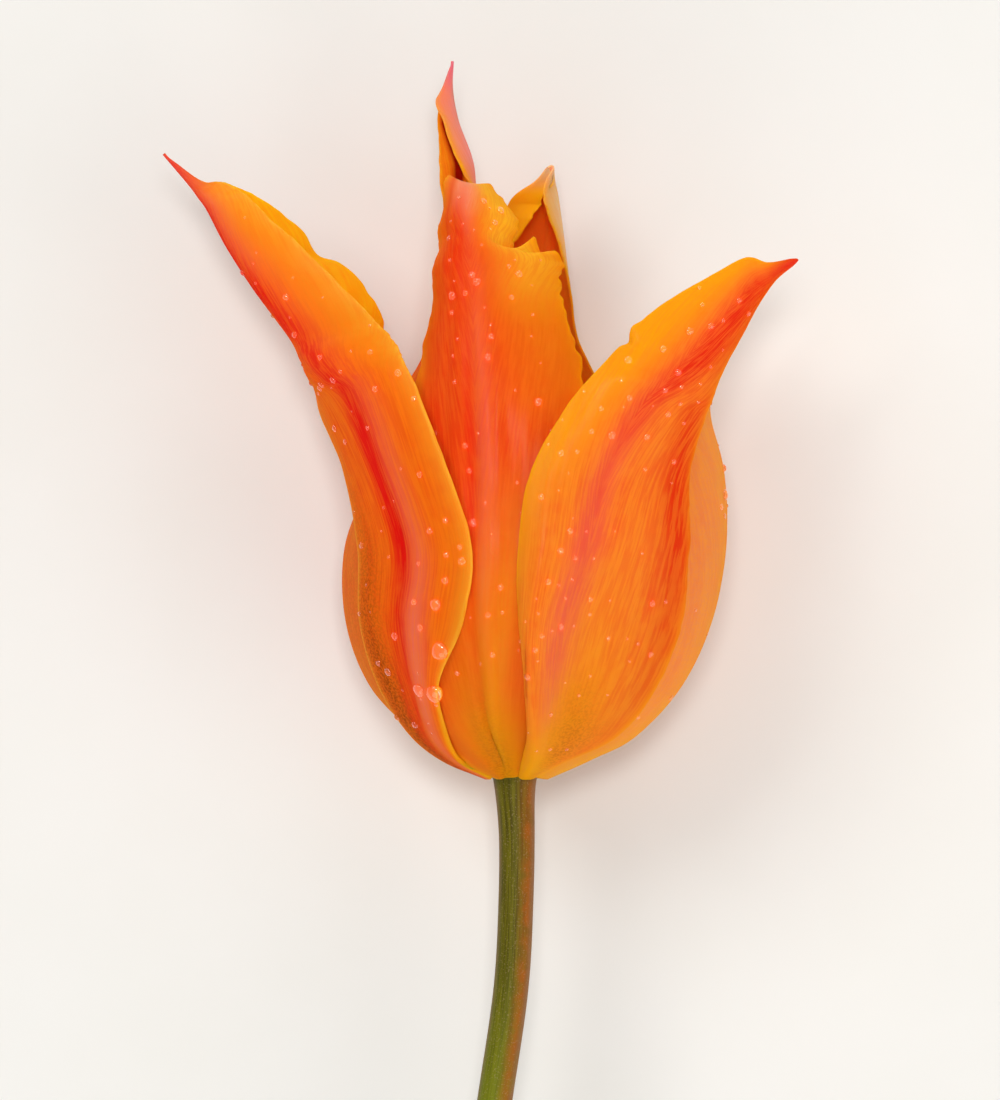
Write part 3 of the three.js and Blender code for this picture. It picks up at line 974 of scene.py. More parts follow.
OUTER_LEFT = Petal(
    node="tepal_outer_left",
    slot="petal_outer_left",
    edge_lift=0.1,
    wave=(0.15, 0.2),
    waves=7,
    cup=(
        (-0.25, 0, -74, -54, -37),
        (1.5, -0.2, -78, -54, -37),
        (4.5, -0.4, -76, -53, -34),
        (10, -0.3, -70, -47, -30.5),
        (17, 0, -67, -46, -21),
        (25, 0, -68, -45, -19.5),
    ),
    blade=(
        ((-18.8, 34, 3), (-15.5, 34.4, 12), (-7.9, 34.8, 18.8)),
        ((-21.6, 41, -2), (-18.6, 41.6, 9.4), (-11.4, 43.8, 15)),
        ((-21.2, 44.6, -3.4), (-21.2, 43.6, 7.6), (-12.6, 46.3, 13.6)),
        ((-15.2, 47.6, -4), (-23.2, 45.6, 5.6), (-13.8, 48.4, 12)),
        ((-15.1, 51.5, -3.6), (-24.6, 48.2, 3), (-16.3, 50.9, 9)),
        ((-19.9, 57.2, -4.4), (-28.4, 53.4, 1.5), (-22.8, 57.4, 6)),
        ((-25.8, 61.9, -3.8), (-31.6, 58.3, 1), (-26.9, 61.2, 4.5)),
        ((-29.9, 64.4, -2.8), (-33.7, 62.2, 0.5), (-29.9, 64, 2.8)),
        ((-32.2, 65.3, -1.7), (-34.8, 63.7, 0.4), (-32.2, 65.2, 1.7)),
        ((-34.6, 65.4, -0.8), (-35.8, 65, 0.3), (-34.6, 65.4, 0.9)),
    ),
    tip=(-38.7, 68.4, 0),
    seed=11,
    skin=PetalSkin(
        body="#F97010",
        vein="#E8420C",
        rim="#FFA42E",
        inner="#FFB414",
        inner_vein="#FF9008",
        glow_colour="#FFA00C",
        blush_and_sheen_colour="#F27058",
        speckled_tint_colour="#8C3A00",
        stripe_colour="#E0140E",
        tip_colour="#DC3C3A",
        stripe=Wash(
            (
                (0.028, -0.25, 0.12, 0.3), (0.094, -0.2, 0.12, 0.65), (0.159, -0.02, 0.12, 0.85),
                (0.216, 0.04, 0.11, 0.85), (0.281, 0.06, 0.16, 0.95), (0.337, 0.02, 0.18, 1.25),
                (0.384, 0.04, 0.2, 1.25), (0.444, 0.1, 0.22, 1.0), (0.556, 0.3, 0.24, 0.8),
                (0.625, 0.32, 0.26, 0.9), (0.681, 0.22, 0.3, 1.05), (0.737, 0.04, 0.36, 1.1),
                (0.831, 0.0, 0.36, 1.1), (0.9, 0.0, 0.45, 1.0), (0.953, -0.1, 0.7, 0.7),
            )
        ),
        # pink haze beside the stripe and towards the tip: painted sheen
        blush_and_sheen=Wash(
            (
                (0.047, 0.2, 0.3, 0.5), (0.159, 0.32, 0.24, 0.8), (0.253, 0.28, 0.2, 0.75),
                (0.337, 0.24, 0.18, 0.5), (0.5, 0.3, 0.3, 0.2), (0.681, 0.5, 0.3, 0.25),
                (0.76, 0.35, 0.32, 0.6), (0.831, 0.35, 0.42, 0.9), (0.9, 0.25, 0.55, 0.9),
                (1.0, 0.0, 0.9, 0.3),
            )
        ),
        glow=Wash(
            (
                (0.188, 0.9, 0.2, 0.0), (0.281, 0.95, 0.2, 0.2), (0.375, 0.95, 0.2, 0.2),
                (0.5, 0.95, 0.3, 0.4), (0.625, 1.0, 0.4, 0.55), (0.7, 1.0, 0.4, 0.5),
                (0.766, 1.0, 0.42, 0.7), (0.83, 1.0, 0.42, 0.9), (0.906, 0.95, 0.4, 0.35),
                (1.0, 0.9, 0.5, 0.0),
            )
        ),
        claw=Wash(
            (
                (0.0, 0.9, 0.5, 0.9), (0.094, 0.95, 0.22, 0.8), (0.188, 1.0, 0.1, 0.4),
                (0.281, 1, 0.1, 0),
            )
        ),
        # darker, olive-brown and speckled towards the base on the left side
        flush=Wash(
            (
                (0.0, -0.6, 0.5, 0.7), (0.094, -0.6, 0.45, 0.95), (0.188, -0.62, 0.4, 0.95),
                (0.281, -0.7, 0.35, 0.7), (0.375, -0.8, 0.25, 0.15), (0.5, -0.8, 0.2, 0.0),
            )
        ),
        band=Wash(
            (
                (0.0, -0.4, 0.25, 0.7), (0.075, -0.42, 0.2, 0.85), (0.141, -0.3, 0.14, 0.8),
                (0.206, -0.16, 0.12, 0.65), (0.281, -0.1, 0.1, 0.3), (0.375, 0.0, 0.1, 0.0),
            )
        ),
        rim_width=1.1,
        tip_from=0.85,
    ),
    ridges=(Ridge(0.06, 0.14, 0.14, -0.12, 0.1, 0.6),),
    dents=(Dent(-0.3, 0.53, 0.5, 0.035, -0.4), Dent(-0.9, 0.38, 0.4, 0.05, -0.2)),
    folds=(
        Fold(-0.6, -1.0, 0.7, 0.014, (-0.8, -0.8, 0.0)),
        Curl(
            (
                (0.0, 0.05, -0.4, 0, 0), (0.0625, 0.05, -1.2, 0, -1.0), (0.125, 0.1, -1.0, 0.1, -0.9),
                (0.1875, 0.3, -0.75, 0, -0.7), (0.25, 0.5, 0, 0, -0.5), (0.38, 0.6, 0, 0, 0),
            )
        ),
    ),
    nibble=0.008,
)

INNER_FRONT = Petal(
    node="tepal_inner_front",
    slot="petal_inner_front",
    edge_lift=-0.4,
    wave=(0.22, 0.35),
    waves=9,
    cup=(
        (-0.25, -0.2, -34, -14, 6),
        (0.9, -1.3, -48, -14, 12),
        (4.5, -1.5, -50, -16, 17),
        (10, -1.4, -52, -16, 18),
        (17, -1, -53, -17, 20),
        (25, -1, -54, -18.5, 20),
        (33, -1, -54, -21, 19),
    ),
    blade=(
        ((-11.7, 40.3, 11), (-4.2, 40.5, 18), (8.4, 40.3, 16.6)),
        ((-10.1, 45.8, 10.5), (-4.4, 46.5, 17.3), (7.2, 46.8, 14.5)),
        ((-9.2, 51.6, 10), (-4.6, 52.2, 16), (5, 52.6, 12.2)),
        ((-8.7, 55.8, 9.2), (-4.9, 56.4, 14.4), (5.7, 56.2, 9.6)),
        ((-8.4, 58.4, 8.7), (-5.1, 59.4, 13.2), (0, 57.4, 10.6)),
        ((-8.1, 61, 8), (-5.3, 61.9, 12), (0.2, 60.2, 9)),
        ((-7.8, 64.2, 6.8), (-5.2, 64.4, 9.6), (-1.9, 63.8, 7.4)),
        ((-7.2, 66, 4.6), (-5.4, 64.9, 6.4), (-3.4, 64.8, 5.2)),
    ),
    tip=(-5.4, 63.2, 3.4),
    seed=23,
    skin=PetalSkin(
        body="#EC5E18",
        vein="#E03C10",
        rim="#FF9204",
        inner="#FF9600",
        stripe_colour="#E2300E",
        blush_and_sheen_colour="#FBA488",
        glow_colour="#FFB428",
        claw_colour="#DC8E06",
        speckled_tint_colour="#A0500A",
        # The pale peach tip is a painted highlight on the top of the petal, which faces the light.
        tip_colour="#FBB890",
        stripe=Wash(
            (
                (0.05, -0.04, 0.05, 0.6), (0.12, -0.05, 0.06, 0.75), (0.2, -0.06, 0.1, 0.5),
                (0.3, -0.5, 0.4, 0.25), (0.38, -0.3, 0.45, 0.3), (0.5, -0.08, 0.6, 0.3),
                (0.56, -0.12, 0.5, 0.25), (0.62, -0.2, 0.38, 0.6), (0.72, -0.22, 0.28, 0.8),
                (0.8, -0.2, 0.2, 0.6), (0.95, 0.0, 0.3, 0.1),
            )
        ),
        # pale pink towards the tip: painted highlight
        blush_and_sheen=Wash(
            (
                (0.2, 0.06, 0.06, 0.0), (0.3, 0.07, 0.06, 0.12), (0.45, 0.08, 0.09, 0.18),
                (0.6, 0.08, 0.1, 0.1), (0.7, -0.02, 0.15, 0.08), (0.78, -0.05, 0.2, 0.3),
                (0.85, -0.05, 0.4, 0.8), (0.93, 0.0, 0.7, 0.8), (1.0, 0.0, 1.0, 0.6),
            )
        ),
        glow=Wash(
            (
                (0.1, 0.08, 0.1, 0.45), (0.2, 0.12, 0.15, 0.35), (0.3, 0.28, 0.28, 0.3),
                (0.38, 0.35, 0.3, 0.15), (0.42, 0.35, 0.3, 0.0), (0.43, -1.0, 0.22, 0.0),
                (0.48, -1.0, 0.25, 0.7), (0.52, -1.0, 0.22, 0.6), (0.555, -1.0, 0.2, 0.0),
                (0.56, 0.65, 0.4, 0.0), (0.62, 0.75, 0.42, 0.6), (0.7, 0.8, 0.45, 0.95),
                (0.8, 0.8, 0.5, 1.0), (0.92, 0.7, 0.5, 1.0), (1.0, 0.7, 0.5, 0.3),
            )
        ),
        claw=Wash(
            (
                (0.0, 0.1, 1.2, 1.0), (0.06, 0.1, 0.9, 0.9), (0.12, 0.05, 0.7, 0.8),
                (0.18, 0.0, 0.6, 0.5), (0.26, -0.05, 0.5, 0.25), (0.36, 0.0, 0.4, 0.0),
                (0.4, 0.85, 0.4, 0.0), (0.48, 0.8, 0.45, 0.3), (0.58, 0.75, 0.45, 0.4),
                (0.66, 0.8, 0.45, 0.1), (0.75, 0.8, 0.4, 0.0),
            )
        ),
        band=Wash(
            (
                (0.04, -0.06, 0.05, 0.6), (0.12, -0.06, 0.04, 0.9), (0.3, -0.07, 0.04, 0.9),
                (0.5, -0.08, 0.045, 0.7), (0.62, -0.1, 0.05, 0.0), (0.7, -0.55, 0.1, 0.0),
                (0.8, -0.6, 0.1, 0.6), (0.92, -0.6, 0.12, 0.7), (1.0, -0.6, 0.12, 0.2),
            )
        ),
        # darker and speckled at the base
        flush=Wash(
            (
                (0.0, -0.1, 0.8, 0.55), (0.06, -0.1, 0.5, 0.55), (0.12, -0.08, 0.25, 0.4),
                (0.22, -0.06, 0.12, 0.0),
            )
        ),
        rim_width=1.0,
        tip_from=0.93,
    ),
    ridges=(
        Ridge(-0.015, 0.09, 0.06, -0.14, 0.0, 0.5),
        Ridge(0.07, 0.05, 0.1, 0.25, 0.03, 0.6),
        Ridge(-0.16, 0.14, 0.1, 0.2, 0.03, 0.6),
        Ridge(0.2, 0.05, 0.05, -0.1, 0.1, 0.75),
        Ridge(-0.35, 0.06, 0.06, -0.1, 0.2, 0.85),
        Ridge(-0.62, 0.12, 0.12, -0.14, 0.55, 0.9),
        Ridge(-0.12, 0.09, 0.09, -0.1, 0.5, 0.82),
    ),
    dents=(Dent(-0.55, 0.12, 0.3, 0.1, -0.6),),
    folds=(
        Curl(
            (
                (0.0, -0.3, 0, -0.3, 0), (0.067, -0.3, -0.3, -1.0, 0.35),
                (0.133, -0.3, -0.4, -0.8, 0.6), (0.2, -0.4, -0.25, -0.3, 0.35), (0.27, -0.5, 0, 0, 0),
            )
        ),
        Fold(0.7, 1.0, 0.706, 0.005, (0.0, 2.3, 0.3)),
        Fold(0.4, 1.0, 0.732, 0.016, (-0.3, -1.4, -0.6)),
        Fold(0.7, 1.0, 0.682, 0.007, (0.1, 0.7, 0.6)),
        Fold(0.7, 1.0, 0.694, 0.004, (0.0, -0.3, -0.2)),
        Fold(0.4, 1.0, 0.75, 0.02, (0.5, 0.0, 0.0)),
        Fold(0.4, 1.0, 0.85, 0.03, (0.4, 0.1, 0.0)),
    ),
    nibble=0.03,
    rows=420,
)

OUTER_RIGHT = Petal(
    node="tepal_outer_right",
    slot="petal_outer_right",
    edge_lift=0.2,
    wave=(0.15, 0.03),
    waves=7,
    cup=(
        (-0.25, 0, 7, 20, 37),
        (1.5, 0, 6, 17, 37),
        (4.5, 0, 5, 15, 57),
        (10, 0, 1, 12, 58),
        (17, 0, -3, 12, 56),
        (25, 0, -5, 16, 53),
        (33, 0, -3.5, 20, 51.5),
    ),
    blade=(
        ((5.6, 40.3, 19.7), (13.6, 40.2, 18.6), (20.8, 39.2, 12.6)),
        ((10.8, 46.3, 19.4), (16.6, 43.5, 18), (21.6, 41.4, 13.4)),
        ((15, 50.9, 18), (19.7, 46.9, 17), (23, 44.9, 13.8)),
        ((20.8, 54.8, 16.6), (23.6, 51.4, 16), (25.4, 49.4, 13.8)),
        ((25, 57, 15.4), (26, 54, 15), (27, 52.2, 13.8)),
        ((27.8, 56.3, 14.6), (28.2, 55.2, 14.3), (28.6, 54.4, 13.6)),
    ),
    tip=(31, 56.6, 13),
    seed=37,
    skin=PetalSkin(
        body="#FA8424",
        vein="#EE5620",
        rim="#FF9E12",
        inner="#FF9600",
        glow_colour="#FFA408",
        stripe_colour="#E02C0C",
        blush_and_sheen_colour="#F0644C",
        claw_colour="#F09A06",
        tip_colour="#D82C1C",
        stripe=Wash(
            (
                (0.2, -0.05, 0.2, 0.12), (0.35, -0.03, 0.15, 0.28), (0.47, -0.05, 0.14, 0.5),
                (0.55, 0.05, 0.24, 0.75), (0.65, 0.2, 0.36, 1.05), (0.78, 0.34, 0.5, 1.1),
                (0.9, 0.35, 0.75, 1.1), (1.0, 0.0, 1.0, 1.1),
            )
        ),
        blush_and_sheen=Wash(
            (
                (0.08, -0.1, 0.25, 0.4), (0.2, -0.08, 0.2, 0.95), (0.35, -0.05, 0.18, 0.95),
                (0.45, -0.04, 0.16, 0.85), (0.55, 0.0, 0.2, 0.6), (0.7, 0.1, 0.3, 0.3),
                (1.0, 0.0, 1.0, 0.1),
            )
        ),
        glow=Wash(
            (
                (0.06, -0.8, 0.5, 0.3), (0.2, -0.85, 0.4, 0.15), (0.33, -0.9, 0.4, 0.15),
                (0.42, -0.9, 0.4, 0.35), (0.5, -0.85, 0.5, 0.7), (0.65, -0.85, 0.6, 0.9),
                (0.8, -0.9, 0.6, 0.8), (0.92, -1.0, 0.6, 0.4), (1.0, -1.0, 0.6, 0.0),
            )
        ),
        claw=Wash(
            (
                (0.0, 0.0, 1.2, 0.9), (0.07, -0.2, 0.9, 0.9), (0.12, -0.1, 0.7, 0.75),
                (0.18, 0.2, 0.5, 0.7), (0.26, 0.3, 0.4, 0.35), (0.33, 0.3, 0.4, 0.15),
                (0.4, 0.3, 0.4, 0.0),
            )
        ),
        flush=Wash(
            (
                (0.06, 0.5, 0.5, 0.3), (0.11, 0.45, 0.4, 0.6), (0.16, 0.4, 0.35, 0.6),
                (0.2, 0.35, 0.25, 0.4), (0.26, 0.3, 0.2, 0),
            )
        ),
        # This band is painted shade: a deeper red along the crease where the right margin curves in
        # towards the petal behind.
        band=Wash(
            (
                (0.1, 0.95, 0.15, 0.2), (0.25, 0.92, 0.12, 0.5), (0.35, 0.9, 0.16, 0.9),
                (0.45, 0.86, 0.2, 1.0), (0.55, 0.8, 0.24, 0.75), (0.65, 0.9, 0.22, 0.4),
                (0.8, 0.92, 0.3, 0.75), (0.9, 0.9, 0.3, 0.7), (1.0, 0.9, 0.2, 0.0),
            )
        ),
        rim_width=0.8,
    ),
    ridges=(Ridge(-0.02, 0.06, 0.06, -0.1, 0.1, 0.6), Ridge(0.55, 0.3, 0.3, 0.15, 0.1, 0.5)),
    dents=(
        Dent(-0.5, 0.612, 0.22, 0.012, 0.28),
        Dent(-0.52, 0.59, 0.2, 0.015, -0.28),
    ),
    folds=(
        Curl(
            (
                (0.0, -0.4, 0, 0.3, -0.2), (0.077, -0.4, 0, 0.9, -0.5), (0.154, -0.4, 0, 0.8, -0.8),
                (0.231, -0.5, 0, 0.6, -1.0), (0.308, -0.6, 0, 0.2, -0.8), (0.385, -0.6, 0, 0, -0.6),
                (0.46, -0.7, 0, 0, -0.3), (0.54, -0.7, 0, 0, 0),
            )
        ),
        Fold(-0.3, -1.0, 0.8, 0.1, (0.2, -0.4, 0.0)),
        Fold(-0.75, -1.0, 0.66, 0.01, (-0.3, 0.2, 0.3)),
        Fold(-0.75, -1.0, 0.638, 0.008, (0.35, -0.35, -0.5)),
    ),
    nibble=0.006,
    rows=340,
)

INNER_RIGHT = Petal(
    node="tepal_inner_right",
    slot="petal_inner_right",
    edge_lift=-1.6,
    wave=(0.3, 0.3),
    waves=8,
    cup=(
        (-0.25, 0, 44, 86, 121),
        (1.5, -0.5, 36, 87, 127),
        (4.5, 0.05, 42, 88, 131),
        (10, 0.15, 45, 88, 133),
        (17, -0.05, 44, 88, 135),
        (25, -0.1, 44, 88, 136),
        (33, -0.5, 46, 88, 134),
    ),
    blade=(
        ((16.2, 39.8, 12), (21.3, 40, -0.5), (16.2, 40, -12.2)),
        ((17.6, 44.8, 7.4), (22.2, 45.2, -1.6), (18, 45, -9.8)),
        ((20.4, 48.8, 2.6), (23.4, 49.6, -2.6), (20.8, 48.8, -6.8)),
        ((23.2, 51.4, -0.6), (24.8, 52, -3), (23.4, 51.2, -4.8)),
    ),
    tip=(26, 53.6, -3.4),
    seed=41,
    skin=PetalSkin(
        body="#FF942E",
        vein="#F8783A",
        rim="#FF9E0E",
        speckled_tint_colour="#F28456",
        stripe=Wash(((0.1, 0, 0.15, 0.2), (0.4, 0, 0.1, 0.3), (0.7, 0, 0.12, 0.4), (1.0, 0, 0.5, 0.6))),
        glow=Wash(
            (
                (0.0, 0, 1.2, 0.6), (0.2, 0, 0.5, 0.6), (0.5, 0, 0.3, 0.5), (0.8, 0, 0.4, 0.5),
                (1, 0, 1, 0.4),
            )
        ),
        claw=BASE_CLAW,
        flush=Wash(
            (
                (0.1, -0.5, 0.4, 0.3), (0.4, -0.55, 0.4, 0.6), (0.6, -0.5, 0.4, 0.4),
                (0.8, 0, 0.6, 0.0),
            )
        ),
        rim_width=1.0,
    ),
    nibble=0.015,
    rows=240,
)

OUTER_BACK = Petal(
    node="tepal_outer_back",
    slot="petal_outer_back",
    edge_lift=0.4,
    wave=(0.12, 0.12),
    waves=7,
    cup=(
        (-0.25, 0, 130, 168, 200),
        (1.5, 0, 129, 169, 205),
        (4.5, 0, 129, 170, 207),
        (10, 0, 131, 170, 208),
        (17, 0, 130, 171, 209),
        (25, 0, 131, 172, 209),
        (33, -0.1, 139, 173, 206),
    ),
    blade=(
        ((11, 40.6, -15), (2.6, 41, -19.2), (-7.6, 40.8, -17)),
        ((7.4, 47, -12.4), (2.4, 47, -18.4), (-7, 47, -14.8)),
        ((6, 53.2, -9.4), (3, 53, -16.8), (-6.4, 53, -12.4)),
        ((4.8, 59, -6.8), (3.6, 59, -14.4), (-5.5, 59, -9)),
        ((3.1, 63.3, -5), (3.8, 63.3, -10.8), (-5, 62.9, -7)),
        ((3.5, 65.5, -5.2), (4.0, 65.5, -7.2), (0.5, 65.3, -5.8)),
    ),
    tip=(4, 67.2, -6),
    seed=53,
    skin=PetalSkin(
        body="#FF9A1E",
        vein="#F67A20",
        rim="#FFA00A",
        inner="#FF9418",
        inner_vein="#FF8418",
        blush_and_sheen_colour="#FFD4A4",
        tip_colour="#FFB488",
        stripe=Wash(
            (
                (0.1, 0, 0.15, 0.4), (0.4, 0, 0.12, 0.7), (0.7, 0, 0.15, 0.7), (1.0, 0, 0.5, 0.4),
            )
        ),
        # pale flap on the curled-over tip: painted highlight
        blush_and_sheen=Wash(
            (
                (0.3, -0.4, 0.4, 0.3), (0.6, -0.5, 0.4, 0.5), (0.8, -0.6, 0.5, 0.8),
                (1.0, -0.6, 0.6, 0.9),
            )
        ),
        glow=Wash(
            (
                (0.5, 0.8, 0.4, 0.0), (0.7, 0.8, 0.6, 0.7), (0.85, 0.8, 0.6, 0.9), (1.0, 0.8, 0.6, 0.3),
            )
        ),
        claw=BASE_CLAW,
        rim_width=0.9,
        # painted shade in the hollow under the curled-over tip
        painted_shade=Wash(((0.5, 0, 1, 0), (0.65, 0.1, 1, 0.7), (0.8, 0.1, 1, 0.6), (0.87, 0, 1, 0))),
        painted_shade_colour="#FF7028",
        tip_from=0.87,
    ),
    folds=(
        Curl(
            (
                (0.646, 0.6, 0, 0, 0), (0.692, 0.6, 1.5, 0, 0.5), (0.769, 0.6, 5.8, 0, 2.5),
                (0.812, 0.6, 7.2, 0, 2.4), (0.846, 0.6, 8.1, 0, 1.1), (0.923, 0.6, 3.8, 0, -0.2),
                (1.0, 0.6, 0, 0, 0),
            )
        ),
    ),
    nibble=0.01,
    tip_half_width=0.42,
)

INNER_LEFT = Petal(
    node="tepal_inner_left",
    slot="petal_inner_left",
    edge_lift=-2.6,
    wave=(0.15, 0.15),
    waves=8,
    cup=(
        (-0.25, -0.1, -150, -116, -84),
        (1.5, -1.2, -156, -117, -73),
        (4.5, -0.5, -161, -118, -68),
        (10, 0.45, -162, -115, -62),
        (17, 0.75, -162, -113, -60),
        (25, 0.75, -162, -113, -60),
        (33, -0.2, -162, -120, -68),
    ),
    blade=(
        ((-8.4, 39.4, -14.6), (-13.8, 39.4, -5.6), (-11.4, 39.8, 5)),
        ((-4.6, 45.8, -12), (-9.6, 46, -4.6), (-8.4, 46.4, 4)),
        ((-3.6, 53.6, -8.6), (-7.8, 54, -4), (-7.6, 54.4, 3)),
        ((-3.4, 61, -3.6), (-6, 61.4, -5), (-7.9, 61.8, 0.6)),
        ((-5.6, 66.4, 1.4), (-4.9, 66.8, -2), (-8.2, 67.2, -1)),
        ((-7.9, 71.8, 1.2), (-6.4, 72, -1), (-8.5, 72.2, -0.9)),
        ((-7.9, 75.4, 0.7), (-7.0, 75.6, -0.4), (-7.8, 75.6, -0.6)),
    ),
    tip=(-6.9, 78.6, 0.2),
    seed=67,
    skin=PetalSkin(
        body="#F57622",
        vein="#EE5A23",
        rim="#FFA010",
        inner="#FFA01C",
        inner_vein="#F06A14",
        blush_and_sheen_colour="#F08C8C",
        tip_colour="#E26A80",
        stripe=Wash(
            (
                (0.1, 0, 0.15, 0.4), (0.4, 0, 0.12, 0.7), (0.6, 0, 0.15, 0.5), (0.8, 0, 0.5, 0.0),
            )
        ),
        blush_and_sheen=Wash(
            (
                (0.5, -0.3, 0.5, 0.0), (0.68, -0.4, 0.6, 0.6), (0.8, -0.4, 0.9, 0.95),
                (1.0, 0, 1.5, 1.0),
            )
        ),
        claw=BASE_CLAW,
        flush=Wash(
            (
                (0.1, 0.7, 0.5, 0.2), (0.3, 0.7, 0.4, 0.4), (0.45, 0.7, 0.4, 0.3), (0.6, 0.7, 0.6, 0.0),
            )
        ),
        rim_width=0.5,
        # painted shade in the dark slit beside the rolled-over margin
        painted_shade=Wash(
            (
                (0.66, 0.4, 0.2, 0), (0.74, 0.52, 0.2, 1.2), (0.79, 0.55, 0.18, 1.4),
                (0.85, 0.82, 0.14, 1.3), (0.88, 0.95, 0.1, 0),
            )
        ),
        painted_shade_colour="#8E1204",
        rim_end=1.0,
        tip_from=0.9,
    ),
    folds=(Fold(-0.1, -1.0, 0.9, 0.025, (-0.6, 0.0, 0.5)),),
    nibble=0.012,
)


# Swept pieces


@dataclass
class Tube:
    """A closed skin carried along a line: rings of points square to the line, a pole at each
    end. The first point of each ring lies to the right of the line as it runs up the bloom."""

    line: Array
    corners: int

    def frames(self) -> tuple[Array, Array]:
        """The directions to the right and up, square to the line, at each of its points.

        Returns:
            The unit vectors to the right and up.
        """
        ahead = unit(np.gradient(self.line, axis=0))
        right = unit(np.cross(ahead, UP))
        return right, np.cross(right, ahead)

    def points(self, radius: Array) -> Array:
        """Ring points: centre plus radius times cosine to the right plus sine up.

        Args:
            radius: one radius for each ring, or for each ring and corner, mm.

        Returns:
            The vertices, ring by ring, then the two poles.
        """
        turn = ring_angles(self.corners)[None, :, None]
        right, high = self.frames()
        spoke = np.cos(turn) * right[:, None] + np.sin(turn) * high[:, None]
        rings = self.line[:, None] + self.spread(radius)[..., None] * spoke
        rings[..., 2] = np.maximum(rings[..., 2], -SEAT[2])
        poles = np.stack([rings[0].mean(axis=0), rings[-1].mean(axis=0)])
        return np.concatenate([rings.reshape(-1, 3), poles])

    def faces(self) -> list[Array]:
        """The grid between the rings and a fan at each end.

        Returns:
            Arrays of vertex numbers, quads first.
        """
        corner = np.arange(self.corners)
        ahead = (corner + 1) % self.corners
        end = (len(self.line) - 1) * self.corners
        foot = len(self.line) * self.corners
        low = np.stack([np.full(self.corners, foot), corner, ahead], axis=-1)
        high = np.stack([np.full(self.corners, foot + 1), end + ahead, end + corner], axis=-1)
        grid = closed_grid_faces(len(self.line), self.corners)[:, ::-1]
        return [grid, low, high]

    def spread(self, values: Array) -> Array:
        """One value for each ring and corner, from one for each ring or each ring and corner."""
        count = len(self.line)
        return np.broadcast_to(np.reshape(values, (count, -1)), (count, self.corners))

    def per_point(self, rings: Array) -> Array:
        """One value for each vertex, the poles too, from values that spread takes."""
        held = self.spread(rings)
        return np.concatenate([held.ravel(), [held[0].mean(), held[-1].mean()]])


@dataclass
class Stem:
    """The stem, from its cut end to the receptacle that the petals are seated on."""

    route: tuple[Point, ...] = (
        (-19, -171, -18),
        (-18.2, -145, -15.6),
        (-14.6, -110, -11.2),
        (-8.6, -75, -6.6),
        (-2.2, -35.6, -2),
        (-0.4, -23, -0.9),
        (0.1, -13.8, -0.3),
        (0.2, -7, 0),
        (0, -1.2, 0),
        (0, RECEPTACLE_TOP, 0),
    )
    radius: float = 1.93
    neck_radius: float = 2.5
    cut_radius: float = 2.5
    neck_length: float = 2.8
    foot_start: float = 60.0
    receptacle_radius: float = 3.0
    unevenness: float = 0.008  # three slow swellings round the stem, as a share of its radius
    ribbing: float = 0.004
    corners: int = 56
    samples: int = 26
    skin: StemSkin = field(default_factory=StemSkin)

    def build(self) -> bpy.types.Object:
        """Builds the stem: the radius narrows below the petals and widens again to the cut.

        Returns:
            The stem's object.
        """
        line = stem_spline(np.array(self.route, float), self.samples)
        steps = np.linalg.norm(np.diff(line, axis=0), axis=1)
        length = np.concatenate([[0.0], np.cumsum(steps)])
        below = length[-1] - length - RECEPTACLE_TOP
        neck = (self.neck_radius - self.radius) * np.exp(-np.maximum(below, 0) / self.neck_length)
        foot = (self.cut_radius - self.radius) * smoothstep(below, self.foot_start, length[-1])
        swelling = 1.0 - smoothstep(below, -0.2, 0.5)
        stalk = self.radius + neck + foot
        radius = stalk + (self.receptacle_radius - stalk) * swelling
        # the cut face: rings that close in on the middle, each a hair further back
        inset = np.array([0.02, 0.47, 0.82, 0.97])
        steps_back = np.arange(len(inset), 0, -1)[:, None] * 1e-3
        line = np.concatenate([line[0] + (line[0] - line[1]) * steps_back, line])
        radius = np.concatenate([radius[0] * inset, radius])
        below = np.concatenate([np.full(len(inset), below[0]), below])
        tube = Tube(line, self.corners)
        turn = ring_angles(self.corners)
        wander = 1.0 + self.unevenness * np.sin(3 * turn + 0.05 * below[:, None])
        wander = wander + self.ribbing * np.sin(11 * turn)
        points = tube.points(radius[:, None] * wander)
        around = np.cos(turn)[None, :] + 0 * below[:, None]
        fading = 1 - 0.5 * smoothstep(below, 20, 60)[:, None]
        marks = {
            "grain": self.grain(tube, turn, below),
            "rust": tube.per_point(smoothstep(around, -0.1, 0.75) * fading),
            "edge": tube.per_point(smoothstep(np.abs(around + 0.08), 0.7, 1.0) * 0.8),
            "low": tube.per_point(smoothstep(below, 15, 60) * 0.7),
            "cut": tube.per_point((np.arange(len(below)) < len(inset)).astype(float)),
        }
        return build_object("stem_fine", points, tube.faces(), marks)

    def grain(self, tube: Tube, turn: Array, below: Array) -> Array:
        """Coordinates for the fine lines along the stem: two round it and one down it.

        Args:
            tube: the stem's skin.
            turn: the angles of the ring's corners, radians.
            below: how far each ring lies below the seat, mm.

        Returns:
            Three coordinates for each vertex.
        """
        x = tube.per_point(np.cos(turn)[None, :] + 0 * below[:, None])
        y = tube.per_point(below)
        z = tube.per_point(np.sin(turn)[None, :] * 9 + 0 * below[:, None])
        return np.stack([x, y, z], axis=-1)

    def dress(self, piece: bpy.types.Object) -> None:
        """Gives the stem its waxy skin."""
        piece.data.materials.append(self.skin.material())
        declare(piece, "stem")


